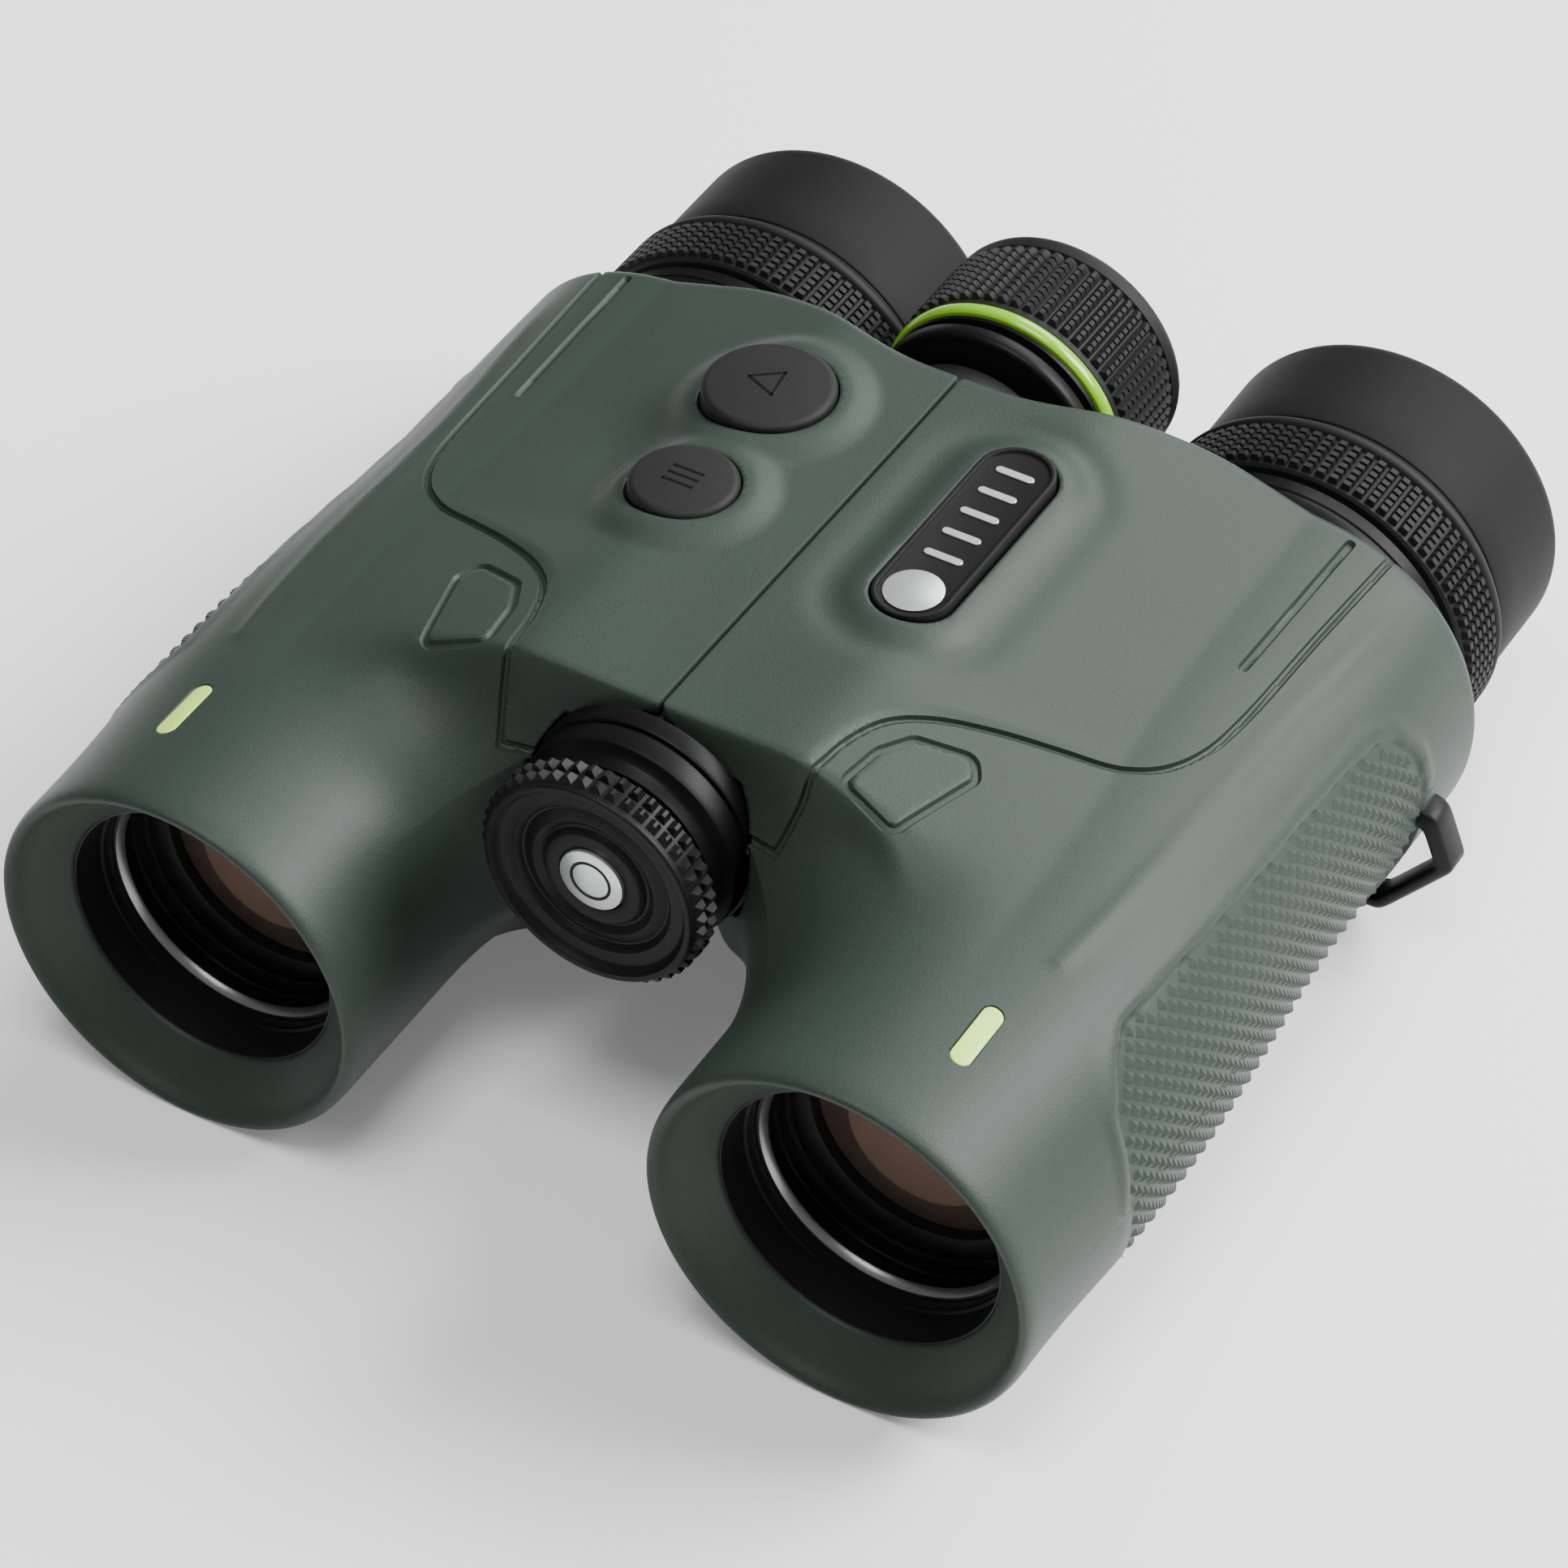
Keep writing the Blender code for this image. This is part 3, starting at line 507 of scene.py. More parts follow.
def distances(points, left):
    """Signed distances of the plain surface's points from each border, one column each."""
    x, y, z = points.T
    xy = np.stack([x, y], -1)
    top = z > TOP_LOW_Z
    outer = x > body_axis(y)
    columns = [hinge_side(points), cover_side(points),
               np.where(top, polygon_distance(xy, D_PLATE, 0.9), FAR),
               np.where(top, np.abs(path_distance(xy, np.array(SLOT))), FAR),
               np.where(top, well_side(xy, left), FAR),
               np.where(outer, polygon_distance(side_coordinates(points), GRIP, 1.2), FAR),
               np.where(top, capsule_distance(xy, MARK, MARK[2], MARK[3]), FAR)]
    return np.stack(columns, -1)


FAR = 50.0
CLEAR, EDGE, D_SHAPE, GROOVE, WELL, PAD, INLAY = range(7)
# Heights of the crisp detail at exact distances from each border
STEPS = {
    EDGE: ((-0.52, -0.34, 0.34, 0.52), (0.0, -0.5, -0.5, 0.0)),
    D_SHAPE: ((-0.5, -0.1, 0.15, 0.7, 0.95), (0.14, 0.06, -0.42, -0.42, 0.0)),
    GROOVE: ((0.34, 0.58), (-0.5, 0.0)),
    WELL: ((0.13, 0.22, 0.4), (-1.7, -0.12, 0.0)),
    PAD: ((-0.55, -0.2, 0.25), (-0.42, -0.42, 0.0)),
    INLAY: ((0.06, 0.16), (-0.3, 0.0)),
}


def crisp_relief(values):
    """Height of the sharp-edged grooves, wells and recesses."""
    return sum(np.interp(values[:, column], *table) for column, table in STEPS.items())


def soft_relief(points, values, left):
    """Height of the moulded swells and hollows, in millimetres."""
    x, y, z = points.T
    top = z > TOP_LOW_Z
    height = 0.3 * smooth(0.5, 1.4, values[:, EDGE]) * smooth(53, 42, y) * smooth(3, 17, x)
    height = height * smooth(25, 30, y)
    well = values[:, WELL]
    if left:
        rings = [np.hypot(x - cx, y - cy) - radius
                 for cx, cy, radius in (BIG_BUTTON, SMALL_BUTTON)]
        both = soft_min(rings, 1.1)
        beside = np.hypot((x - 26.8) / 4.6, (y - 64.0) / 9.5)
        swell = 0.95 * smooth(5.0, 1.2, both) - 0.9 * np.exp(-beside ** 2) * smooth(
            0.3, 3.5, both)
    else:
        swell = 0.7 * smooth(3.8, 0.6, well) - 0.3 * np.exp(-((well - 4.8) / 1.8) ** 2)
    height += np.where(top, swell, 0)
    pad = values[:, PAD]
    round_side = side_coordinates(points)
    lip = 0.28 * np.exp(-((pad - 1.15) / 0.7) ** 2) * smooth(-4, 6, round_side[:, 1])
    crease = path_distance(round_side, np.array([(24, 27.4), (60, 23.6), (98, 19.5)]))
    ridge = 0.3 * np.exp(-(crease / 1.0) ** 2) * smooth(14, 30, y) * smooth(95, 84, y)
    return height + np.where(x > body_axis(y), lip + ridge, 0)


# ---- skins

def even_angles():
    """Angles with even steps along the outline, finer on the top and at its corner."""
    theta = np.linspace(-math.pi, math.pi, 6001)
    radius = body_radius(theta, ANGLE_STATION + 0 * theta)
    x = -radius * np.cos(theta)
    z = radius * np.sin(theta)
    run = np.hypot(np.diff(x), np.diff(z))
    middle = np.degrees((theta[1:] + theta[:-1]) / 2)
    step = np.where((middle > 36) & (middle < 118), FINE_STEP, COARSE_STEP)
    density = np.concatenate([[0], np.cumsum(run / step)])
    count = int(density[-1])
    even = np.interp(np.linspace(0, density[-1], count, endpoint=False), density, theta)
    corner = corner_angle(ANGLE_STATION)
    even = even[np.abs(even - corner) > 0.012]
    close = corner + np.array([-8, -5, -3, -1.5, 0, 1.5, 3, 5, 8]) * 0.001
    return np.sort(np.concatenate([even, close]))


def corner_angle(y):
    """Angle of the corner between the top and the seam."""
    return np.arctan2(top_height(y), body_axis(y) - GAP / 2)


def hood_profile():
    """Hole wall, funnel and rounded crest of the hood, as (station, radius)."""
    points = [(7.0, HOLE_R), (3.0, HOLE_R), (0.7, HOLE_R), (0.25, HOLE_R + 0.08),
              (0.0, HOLE_R + 0.3)]
    points += [(-3.2 * i / 6, HOLE_R + 0.3 + (20.0 - HOLE_R - 0.3) * i / 6)
               for i in range(1, 7)]
    points += [(-3.8, 20.45), (-4.3, 20.78), (-4.63, 21.08), (-4.78, 21.4), (-4.72, 21.7),
               (-4.45, 21.93), (-4.0, 22.1), (-3.4, 22.21), (-2.6, 22.27)]
    return points + [(-1.6, BARREL_R), (-0.4, BARREL_R)]


HOOD = hood_profile()
HOOD_ROWS = len(HOOD)
END_ROWS = 6  # rows of the rear wall
FINE_STEP = 0.55
COARSE_STEP = 1.0
FRONT_STEPS = 46
MIDDLE_STEPS = 120
ANGLE_STATION = 60.0  # where the angles are laid out


def front_rows(theta):
    """Stations from the hood to the end of the front face, closer where it is steep."""
    start, full = front_span(theta)
    rows = [start * share for share in (0.15, 0.3, 0.45, 0.6, 0.75, 0.9)]
    for angle in np.linspace(0, math.pi / 2, FRONT_STEPS):
        rows.append(start + (full - start) * math.sin(angle))
    return rows + [full + past for past in (0.12, 0.25, 0.4, 0.6, 0.85, 1.15, 1.5)]


def skin_grid():
    """Plain surface of a right half as a grid: round the half by along it."""
    theta = even_angles()
    rows = [ring_points(OBJECTIVE_HALF, theta, y, radius) for y, radius in HOOD]
    corner = corner_angle(ANGLE_STATION)
    near = np.exp(-((theta - corner) / 0.35) ** 2)
    front = front_rows(theta)
    last_front = front[-1]
    share = np.linspace(0, 1, MIDDLE_STEPS)[1:]
    stations = front + [last_front + (REAR_ROUND_Y - last_front) * t for t in share]
    for y in stations:
        moved = corner_angle(y) - corner
        rows.append(body_point(theta + moved * near, y + 0 * theta))
    for y, inset in arc(REAR_ROUND_Y, -REAR_ROUND_R, REAR_ROUND_R, REAR_ROUND_R, 12, 90, 7):
        rows.append(body_point(theta, y, -inset))
    last = rows[-1]
    seat = ring_points(EYE_HALF, theta, 0.0, EYE_SEAT_R)
    seat[:, 1] = rear_end(np.abs(seat[:, 0]))
    rows += [last + (seat - last) * t for t in (0.25, 0.5, 0.75, 0.95)]
    inner = seat.copy()
    inner[:, 1] -= 0.2
    deep = seat.copy()
    deep[:, 1] -= 2.2
    rows += [inner, deep]
    return np.stack(rows, 1)


def grid_normals(grid):
    along = np.gradient(grid, axis=1)
    padded = np.concatenate([grid[-1:], grid, grid[:1]], 0)
    around = (padded[2:] - padded[:-2]) / 2
    normal = np.cross(around, along)
    normal /= np.linalg.norm(normal, axis=-1, keepdims=True) + 1e-12
    middle = np.array([OBJECTIVE_HALF, 0, 0])
    sample = (grid[:, 40] - middle) * np.array([1, 0, 1])
    if (normal[:, 40] * sample).sum() < 0:
        normal = -normal
    return normal


class Patch:
    """Faces over points, each with a row of values, cut along levels of the values."""

    def __init__(self, rows, faces):
        self.rows = [tuple(row) for row in rows.tolist()]
        self.faces = [tuple(face) for face in faces.tolist()]

    def cut(self, column, level, faces):
        """Split the faces along a level of one value: (above, below)."""
        value = [row[column] - level for row in self.rows]
        made = {}

        def crossing(i, j):
            key = (min(i, j), max(i, j))
            if key not in made:
                i, j = key
                t = min(max(value[i] / (value[i] - value[j]), 0.01), 0.99)
                row = [a + (b - a) * t for a, b in zip(self.rows[i], self.rows[j])]
                row[column] = level
                self.rows.append(tuple(row))
                value.append(0.0)
                made[key] = len(self.rows) - 1
            return made[key]

        above = []
        below = []
        for face in faces:
            signs = [value[i] > 0 for i in face]
            if all(signs):
                above.append(face)
            elif not any(signs):
                below.append(face)
            else:
                over = []
                under = []
                for k, i in enumerate(face):
                    following = (k + 1) % len(face)
                    (over if signs[k] else under).append(i)
                    if signs[k] != signs[following]:
                        middle = crossing(i, face[following])
                        over.append(middle)
                        under.append(middle)
                above.append(tuple(over))
                below.append(tuple(under))
        return above, below


def make_skins(side):
    """Armour and bridge cover of one half, cut apart along the cover's edge."""
    word = WORDS[side]
    grid = skin_grid()
    normals = grid_normals(grid).reshape(-1, 3)
    shape = grid.shape[:2]
    plain = grid.reshape(-1, 3)
    values = distances(plain, side < 0)
    row = np.tile(np.arange(shape[1]), shape[0])
    off_body = (row < HOOD_ROWS + 2) | (row >= shape[1] - END_ROWS)
    values[off_body, D_SHAPE:] = FAR
    values[row < HOOD_ROWS + 2, EDGE] = -5.0
    index = np.arange(shape[0] * shape[1]).reshape(shape)
    following = np.roll(index, -1, 0)
    quads = np.stack([index[:, :-1], following[:, :-1], following[:, 1:], index[:, 1:]],
                     -1).reshape(-1, 4)
    patch = Patch(np.hstack([values, plain, normals]), quads)
    faces = patch.cut(CLEAR, 0.0, patch.faces)[0]
    for column, (levels, _) in STEPS.items():
        for level in levels:
            above, below = patch.cut(column, level, faces)
            faces = above + below
    cover, armour = patch.cut(EDGE, 0.0, faces)
    rows = np.array(patch.rows)
    values = rows[:, :len(STEPS) + 1]
    plain = rows[:, -6:-3]
    height = crisp_relief(values) + soft_relief(plain, values, side < 0)
    points = plain + rows[:, -3:] * height[:, None]
    points[:, 2] = np.maximum(points[:, 2], -AXIS_Z)
    points[:, 0] *= side
    points = to_world(points)
    for name, chosen, node in ((word + "_armour_skin", armour, word + "_armour"),
                               (word + "_cover_skin", cover, word + "_bridge_cover")):
        used = sorted({i for face in chosen for i in face})
        number = {i: k for k, i in enumerate(used)}
        made = object_from(name, points[used], [[number[i] for i in f] for f in chosen],
                           "armour", word + "_half", 50)
        thicken(made)
        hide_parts(node)


def thicken(thing):
    """Give an open skin its wall, inwards."""
    step = thing.modifiers.new("wall", "SOLIDIFY")
    step.thickness = WALL * MM
    step.offset = -1
    step.use_even_offset = False


# ---- grip

def grip_points(side):
    """Square pyramids on a grid turned 45 degrees, inside the grip's border."""
    pitch = 1.62
    base = 0.74
    half = math.sqrt(0.5)
    cells = []
    for i in range(-60, 90):
        for j in range(-60, 90):
            cells.append(((i + j) * pitch * half, (i - j) * pitch * half))
    cells = np.array(cells)
    inside = polygon_distance(cells, GRIP, 1.2) < -0.95
    cells = cells[inside]
    offsets = np.array([(1, 0), (0, 1), (-1, 0), (0, -1), (0, 0)]) * base * math.sqrt(2)
    points = []
    faces = []
    for cell in cells:
        spots = cell + offsets
        theta = math.pi - spots[:, 1] / SIDE_R
        surface = body_point(theta, spots[:, 0])
        outward_way = np.stack([-np.cos(theta), 0 * theta, np.sin(theta)], -1)
        heights = np.array([-0.5, -0.5, -0.5, -0.5, 0.12])
        a = len(points)
        points += list(surface + outward_way * heights[:, None])
        faces += [(a, a + 1, a + 4), (a + 1, a + 2, a + 4), (a + 2, a + 3, a + 4),
                  (a + 3, a, a + 4), (a, a + 3, a + 2, a + 1)]
    points = np.array(points)
    points[:, 0] *= side
    return to_world(points), faces


def make_grip(side):
    """Studs of the side grip, one mesh a side."""
    word = WORDS[side]
    points, faces = grip_points(side)
    object_from(word + "_grip_studs", points, faces, "grip", word + "_half", 10)


# ---- marks, lugs, plate

def capsule(length, width, steps=14):
    """A capsule's outline, as a function of how far it is moved in."""
    straight = (length - width) / 2

    def outline(inset):
        radius = width / 2 - inset
        return [(end * math.cos(angle) * radius,
                 end * (straight + math.sin(angle) * radius))
                for end in (1, -1) for angle in np.linspace(0, math.pi, steps + 1)]

    return outline


def stack(name, outline_at, levels, place, material, body, smooth_angle=35):
    """Close a stack of outlines: outline_at(inset) gives (u, v), levels (height, inset)."""
    rings = [[place(u, v, height) for u, v in outline_at(inset)] for height, inset in levels]
    count = len(rings[0])
    points = [p for ring in rings for p in ring]
    faces = quads_between(len(rings), count, False, True)
    faces.append(tuple(range(count))[::-1])
    top = (len(rings) - 1) * count
    faces.append(tuple(range(top, top + count)))
    return object_from(name, points, faces, material, body, smooth_angle)


def make_mark(side):
    """Pale inlay on the barrel, bent to its curve."""
    word = WORDS[side]
    lean = MARK[0] - OBJECTIVE_HALF

    def place(u, v, height):
        across = lean + u
        radius = BARREL_R + height
        z = math.sqrt(max(BARREL_R ** 2 - across ** 2, 0))
        scale = radius / BARREL_R
        return world(side * (OBJECTIVE_HALF + across * scale), MARK[1] + v, z * scale)

    mark = stack(word + "_mark", capsule(MARK[2], MARK[3]),
                 [(-0.7, 0.0), (0.0, 0.0), (0.07, 0.06), (0.1, 0.2)], place, "mark",
                 word + "_half")
    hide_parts(word + "_alignment_mark")


def make_nameplate():
    top = float(top_height(PLATE[1]))

    def place(u, v, height):
        return world(PLATE[0] + u, PLATE[1] + v, top + height)

    levels = [(-1.0, 0.0), (0.5, 0.0), (0.72, 0.12), (0.78, 0.3), (0.7, 0.6),
              (0.45, 0.75), (0.42, 0.95)]
    plate = stack("plate", capsule(PLATE[2], PLATE[3]), levels, place, "plastic",
                  "right_half")
    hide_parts("nameplate")
    disc_at = PLATE[1] - 10.9
    ring = [(0.35, 0.0), (0.35, 3.1), (0.55, 3.3), (0.62, 3.1), (0.62, 0.0)]
    upright("plate_disc", ring, PLATE[0], disc_at, top, "silver", "right_half")
    for i in range(5):
        bar_at = PLATE[1] - 4.6 + 3.9 * i

        def bar_place(u, v, height, bar_at=bar_at):
            return world(PLATE[0] + v, bar_at + u, top + height)

        stack("plate_bar_%d" % i, capsule(4.6, 1.0, 8),
              [(0.35, 0.0), (0.55, 0.0), (0.6, 0.06)], bar_place, "silver", "right_half")


def upright(name, profile, x, y, base_z, material, body, segments=96):
    """Turn a (height, radius) profile about an upright line."""
    profile = np.array(profile, float)
    count = len(profile)
    points = []
    for i in range(segments):
        angle = 2 * math.pi * i / segments
        for height, radius in profile:
            points.append(world(x + radius * math.cos(angle), y + radius * math.sin(angle),
                                base_z + height))
    faces = quads_between(segments, count, True, False)
    made = object_from(name, points, faces, material, body)
    outward(made.data, WELD)
    return made


# ---- buttons

def make_button(name, spot, cad_node, body):
    x, y, radius = spot
    top = float(high_mm(cad_node)[2]) - AXIS_Z
    low = float(low_mm(cad_node)[2]) - AXIS_Z
    stem = low + 0.06  # just clear of the switch when pressed
    profile = [(stem, 0.0), (stem, 2.4), (low + 1.1, 2.4), (low + 1.1, radius)]
    profile += [(top - 1.1, radius)]
    for i in range(1, 9):
        angle = math.radians(90 * i / 8)
        profile.append((top - 1.1 + 0.75 * math.sin(angle),
                        radius - 0.9 + 0.9 * math.cos(angle)))
    profile += [(top - 0.18, radius * 0.6), (top - 0.1, radius * 0.3), (top - 0.08, 0.0)]
    made = upright(name, profile, -x, y, 0.0, "rubber", body, 128)
    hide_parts(cad_node)
    return top


def raised_strokes(name, strokes, x, y, z, body):
    """Thin raised strokes, each a run between two (u, v) points."""
    for i, (a, b) in enumerate(strokes):
        a = np.array(a, float)
        b = np.array(b, float)
        run = b - a
        length = float(np.hypot(*run))
        way = run / length
        across = np.array([-way[1], way[0]])
        middle = (a + b) / 2

        def place(u, v, height, way=way, across=across, middle=middle):
            spot = middle + across * u + way * v
            return world(x + spot[0], y + spot[1], z + height)

        stack("%s_%d" % (name, i), capsule(length + 0.45, 0.45, 6),
              [(-0.3, 0.0), (-0.02, 0.0), (0.05, 0.08)], place, "metal", body,
              30)


def make_buttons():
    top = make_button("power_key", BIG_BUTTON, "power_button", "power_button")
    triangle = [(-1.3, -2.0), (2.3, 0.0), (-1.3, 2.0)]
    turn = math.radians(-52)
    spin = np.array([[math.cos(turn), -math.sin(turn)], [math.sin(turn), math.cos(turn)]])
    corners = [spin @ np.array(p) for p in triangle]
    strokes = [(corners[i], corners[(i + 1) % 3]) for i in range(3)]
    raised_strokes("power_symbol", strokes, -BIG_BUTTON[0], BIG_BUTTON[1], top - 0.09,
             "power_button")
    top = make_button("mode_key", SMALL_BUTTON, "mode_button", "mode_button")
    strokes = [((-1.8, -1.2 + 1.2 * i), (1.8, -1.2 + 1.2 * i)) for i in range(3)]
    raised_strokes("mode_symbol", strokes, -SMALL_BUTTON[0], SMALL_BUTTON[1], top - 0.09,
             "mode_button")


# ---- turned pieces

def make_battery_cap():
    face = [(22.6, 0.0), (22.6, 8.4), (18.3, 8.4), (18.1, 12.3), (17.9, 12.6)]
    face += [(17.8, 12.7), (14.5, 12.7), (14.15, 12.55)]
    face += arc(14.0, 12.2, 0.4, 0.35, 0, -90, 5)
    face += [(13.65, 11.75), (14.0, 11.45), (14.55, 11.1), (14.65, 10.9), (14.65, 9.5),
             (14.9, 9.15), (15.35, 8.85), (15.4, 8.6), (14.95, 7.6), (14.9, 7.3),
             (15.4, 6.5), (15.35, 6.2), (14.75, 5.75), (14.7, 5.6), (14.7, 4.15),
             (14.8, 4.0), (15.1, 3.95), (15.1, 0.0)]
    cap = turned("cap_body", face, 0, HINGE_Z, "plastic", "battery_cap")
    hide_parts("battery_cap")
    ribs("cap_teeth_front", 0, HINGE_Z, 46, [15.15], 12.45, 13.35, (1.72, 1.75),
         (0.35, 0.75), "plastic", "battery_cap", 0.1)
    ribs("cap_teeth_rear", 0, HINGE_Z, 46, [16.95], 12.45, 13.4, (1.72, 1.7), (0.4, 0.9),
         "plastic", "battery_cap", 0.1)
    badge = [(15.0, 0.0), (15.0, 3.75), (14.5, 3.75), (14.4, 3.6), (14.4, 0.0)]
    disc = turned("badge_disc", badge, 0, HINGE_Z, "silver", "battery_cap", 96)
    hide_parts("cap_badge")
    ring = [(14.45, 2.1), (14.45, 2.5), (14.33, 2.45), (14.33, 2.15)]
    turned("badge_ring", ring, 0, HINGE_Z, "plastic", "battery_cap", 96)


def make_collar():
    profile = [(19.4, 10.2), (19.4, 10.8), (19.6, 11.2), (20.6, 11.5), (21.0, 11.7)]
    profile += [(21.4, 12.3), (21.7, 12.75), (22.3, 12.95), (24.1, 13.0), (24.2, 12.85),
                (24.35, 12.85), (24.45, 13.3), (24.8, 13.45), (26.6, 13.5), (26.6, 10.2)]
    made = turned("hinge_collar", profile, 0, HINGE_Z, "metal", "left_half")
    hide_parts("front_collar")
    tube = [(26.7, 10.2), (26.7, 11.6), (29.4, 11.6), (29.4, 10.2)]
    turned("collar_shadow_ring", tube, 0, HINGE_Z, "bore", "left_half", 96)


def make_wheel():
    hub = [(96.4, 5.0), (96.4, 12.2), (96.6, 12.5)]
    hub += arc(97.5, 13.4, 0.9, 0.85, -80, 0, 6)
    hub += [(98.3, 14.28), (98.6, 14.15), (98.75, 13.6), (98.9, 13.35), (99.5, 13.3),
            (99.65, 13.6), (99.8, 14.1), (100.2, 14.2), (100.35, 14.1), (100.35, 13.0),
            (115.4, 13.0), (115.4, 5.0)]
    made = turned("wheel_hub", hub, 0, HINGE_Z, "metal", "focus_wheel")
    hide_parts("focus_wheel")
    ring = [(100.45, 13.3), (100.45, 14.45)]
    ring += arc(101.35, 14.35, 0.9, 0.5, -75, 75, 8) + [(102.25, 13.3)]
    made = turned("accent_ring", ring, 0, HINGE_Z, "green", "focus_wheel")
    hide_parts("focus_accent_ring")
    sleeve = [(102.35, 13.2), (102.35, 14.3), (102.5, 14.42), (103.2, 14.45),
              (103.35, 14.3), (113.9, 14.3), (114.15, 14.75)]
    sleeve += arc(115.2, 14.0, 1.1, 0.95, -10, 90, 8)
    sleeve += [(116.3, 13.2), (116.1, 12.8), (115.95, 10.6), (116.05, 10.2), (116.1, 4.2),
               (115.6, 4.2), (115.6, 13.2)]
    made = turned("wheel_sleeve", sleeve, 0, HINGE_Z, "rubber", "focus_wheel")
    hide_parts("focus_wheel_grip")
    rows = [103.95 + 1.0 * i for i in range(10)]
    ribs("wheel_ribs", 0, HINGE_Z, 56, rows, 14.2, 15.08, (1.45, 1.0), (0.5, 0.72),
         "rubber", "focus_wheel", 0.12)
    ridge, faces = blocks_on_ring(56, [108.7], 14.2, 14.85, (1.5, 10.7), (0.42, 10.3), 0.2)
    object_from("wheel_ridges", to_world(ridge + np.array([0, 0, HINGE_Z])), faces,
                "rubber", "focus_wheel", 20)
    cover = [(116.12, 0.0), (116.12, 4.1), (115.7, 4.1), (115.7, 0.0)]
    turned("wheel_end", cover, 0, HINGE_Z, "plastic", "focus_wheel", 64)


def make_rear_housing():
    profile = [(74.0, 4.6), (74.0, 9.85), (91.0, 9.85), (91.2, 11.1), (91.5, 11.4)]
    profile += [(94.6, 11.4), (95.0, 11.2), (95.2, 10.4), (95.8, 10.2), (95.8, 4.6)]
    made = turned("bearing_neck", profile, 0, HINGE_Z, "bore", "left_half")
    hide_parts("rear_housing")


def make_eyepiece(side):
    word = WORDS[side]
    x = side * EYE_HALF
    base = [(91.4, 14.7), (91.4, 17.9), (98.4, 18.0), (98.9, 19.2), (99.3, 19.9),
            (99.8, 20.25), (101.0, 20.35), (101.2, 20.15), (101.5, 20.15), (101.7, 20.35),
            (103.2, 20.4), (103.6, 20.0), (103.6, 16.6), (126.0, 16.6), (126.0, 14.6)]
    made = turned(word + "_eyepiece_base", base, x, 0, "metal", word + "_half")
    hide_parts(word + "_eyepiece_tube")
    ring = [(104.0, 17.1), (104.0, 20.6), (104.25, 20.95), (104.6, 21.0), (111.2, 21.0),
            (111.35, 21.35)]
    ring += arc(112.0, 21.2, 0.7, 0.55, -40, 90, 7) + [(112.7, 20.2), (112.7, 17.1)]
    made = turned(word + "_dioptre_core", ring, x, 0, "rubber", word + "_dioptre")
    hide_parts(word + "_dioptre_ring")
    rows = [105.05 + 1.08 * i for i in range(6)]
    ribs(word + "_dioptre_ribs", x, 0, 84, rows, 20.9, 21.75, (1.25, 0.95), (0.85, 0.66),
         "rubber", word + "_dioptre", 0.0)
    cup = [(113.0, 19.7), (113.0, 20.2), (113.15, 20.45), (113.6, 20.55), (113.75, 20.4),
           (114.05, 20.4), (114.2, 20.6), (114.6, 20.72)]
    cup += [(118.0, 20.8), (124.0, 20.86)]
    cup += arc(127.6, 18.7, 2.4, 2.18, 0, 90, 12)
    cup += [(129.9, 17.6), (129.4, 16.7), (128.6, 16.3), (128.0, 16.25), (128.0, 19.7)]
    made = turned(word + "_cup_rubber", cup, x, 0, "eyecup", word + "_eyecup",
                  192)
    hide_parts(word + "_eyecup")


def make_eye_lens(side):
    """Stepped black mouth round the eye lens, which moves with the dioptre ring."""
    word = WORDS[side]
    x = side * EYE_HALF
    low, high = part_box(word + "_eye_lens")
    rear = high[1] / MM - STATION_ZERO
    front = low[1] / MM - STATION_ZERO
    radius = (high[0] - low[0]) / 2 / MM
    glass = [(front, 0.0), (front, radius), (rear - 1.6, radius)]
    glass += [(rear - 1.6 * share ** 2, radius * share)
              for share in (0.97, 0.9, 0.8, 0.68, 0.54, 0.38, 0.2, 0.0)]
    lens = turned(word + "_eye_glass", glass, x, 0, "exit", word + "_ocular")
    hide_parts(word + "_eye_lens")
    mouth = [(106.0, 12.4), (106.0, 14.2), (122.7, 14.2)]
    mouth += arc(122.7, 13.9, 0.3, 0.3, 0, 90, 4)
    mouth += [(122.9, 13.6), (122.4, 13.5), (122.3, 13.2), (122.9, 13.1), (122.9, 12.8),
              (122.3, 12.7), (121.6, 12.1), (121.2, 12.05), (121.2, 12.4)]
    cell = turned(word + "_ocular_mouth", mouth, x, 0, "metal", word + "_ocular")
    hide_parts(word + "_ocular_cell")
    sleeve = [(113.2, 18.4), (113.2, 19.4), (127.8, 19.4), (127.8, 16.8)]
    sleeve += [(127.5, 16.75), (127.2, 16.8), (127.2, 18.4)]
    tube = turned(word + "_cup_sleeve", sleeve, x, 0, "plastic", word + "_eyecup")
    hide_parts(word + "_eyecup_sleeve")


def make_front_lens(side):
    """Curved front glass and the brown coated glass behind it, with a disc of painted
    reflection.
    """
    word = WORDS[side]
    x = side * OBJECTIVE_HALF
    shares = (0.0, 0.2, 0.38, 0.54, 0.68, 0.8, 0.9, 0.97, 1.0)
    glass = [(7.8 + 1.2 * share ** 2, 15.2 * share) for share in shares]
    glass += [(10.6, 15.2), (11.6, 10.0), (12.2, 0.0)]
    lens = turned(word + "_front_glass", glass, x, 0, "clear", word + "_half",
                  128, 60)
    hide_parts(word + "_objective_lens")
    inner = [(13.4 + 1.0 * share ** 2, 12.8 * share) for share in shares]
    inner += [(16.6, 12.8), (16.6, 0.0)]
    lens = turned(word + "_coated_glass", inner, x, 0, "coated", word + "_half",
                  128, 60)
    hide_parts(word + "_inner_lens")
    # A brighter disc just in front of the coated glass: painted reflection, not a part of
    # the lens.
    bright_disc = [(13.0 + 0.2 * share ** 2, 8.6 * share) for share in shares]
    bright_disc += [(13.6, 8.6), (13.6, 0.0)]
    turned(word + "_lens_reflection_paint", bright_disc, x, 0, "painted_reflection", word + "_half", 128, 60)


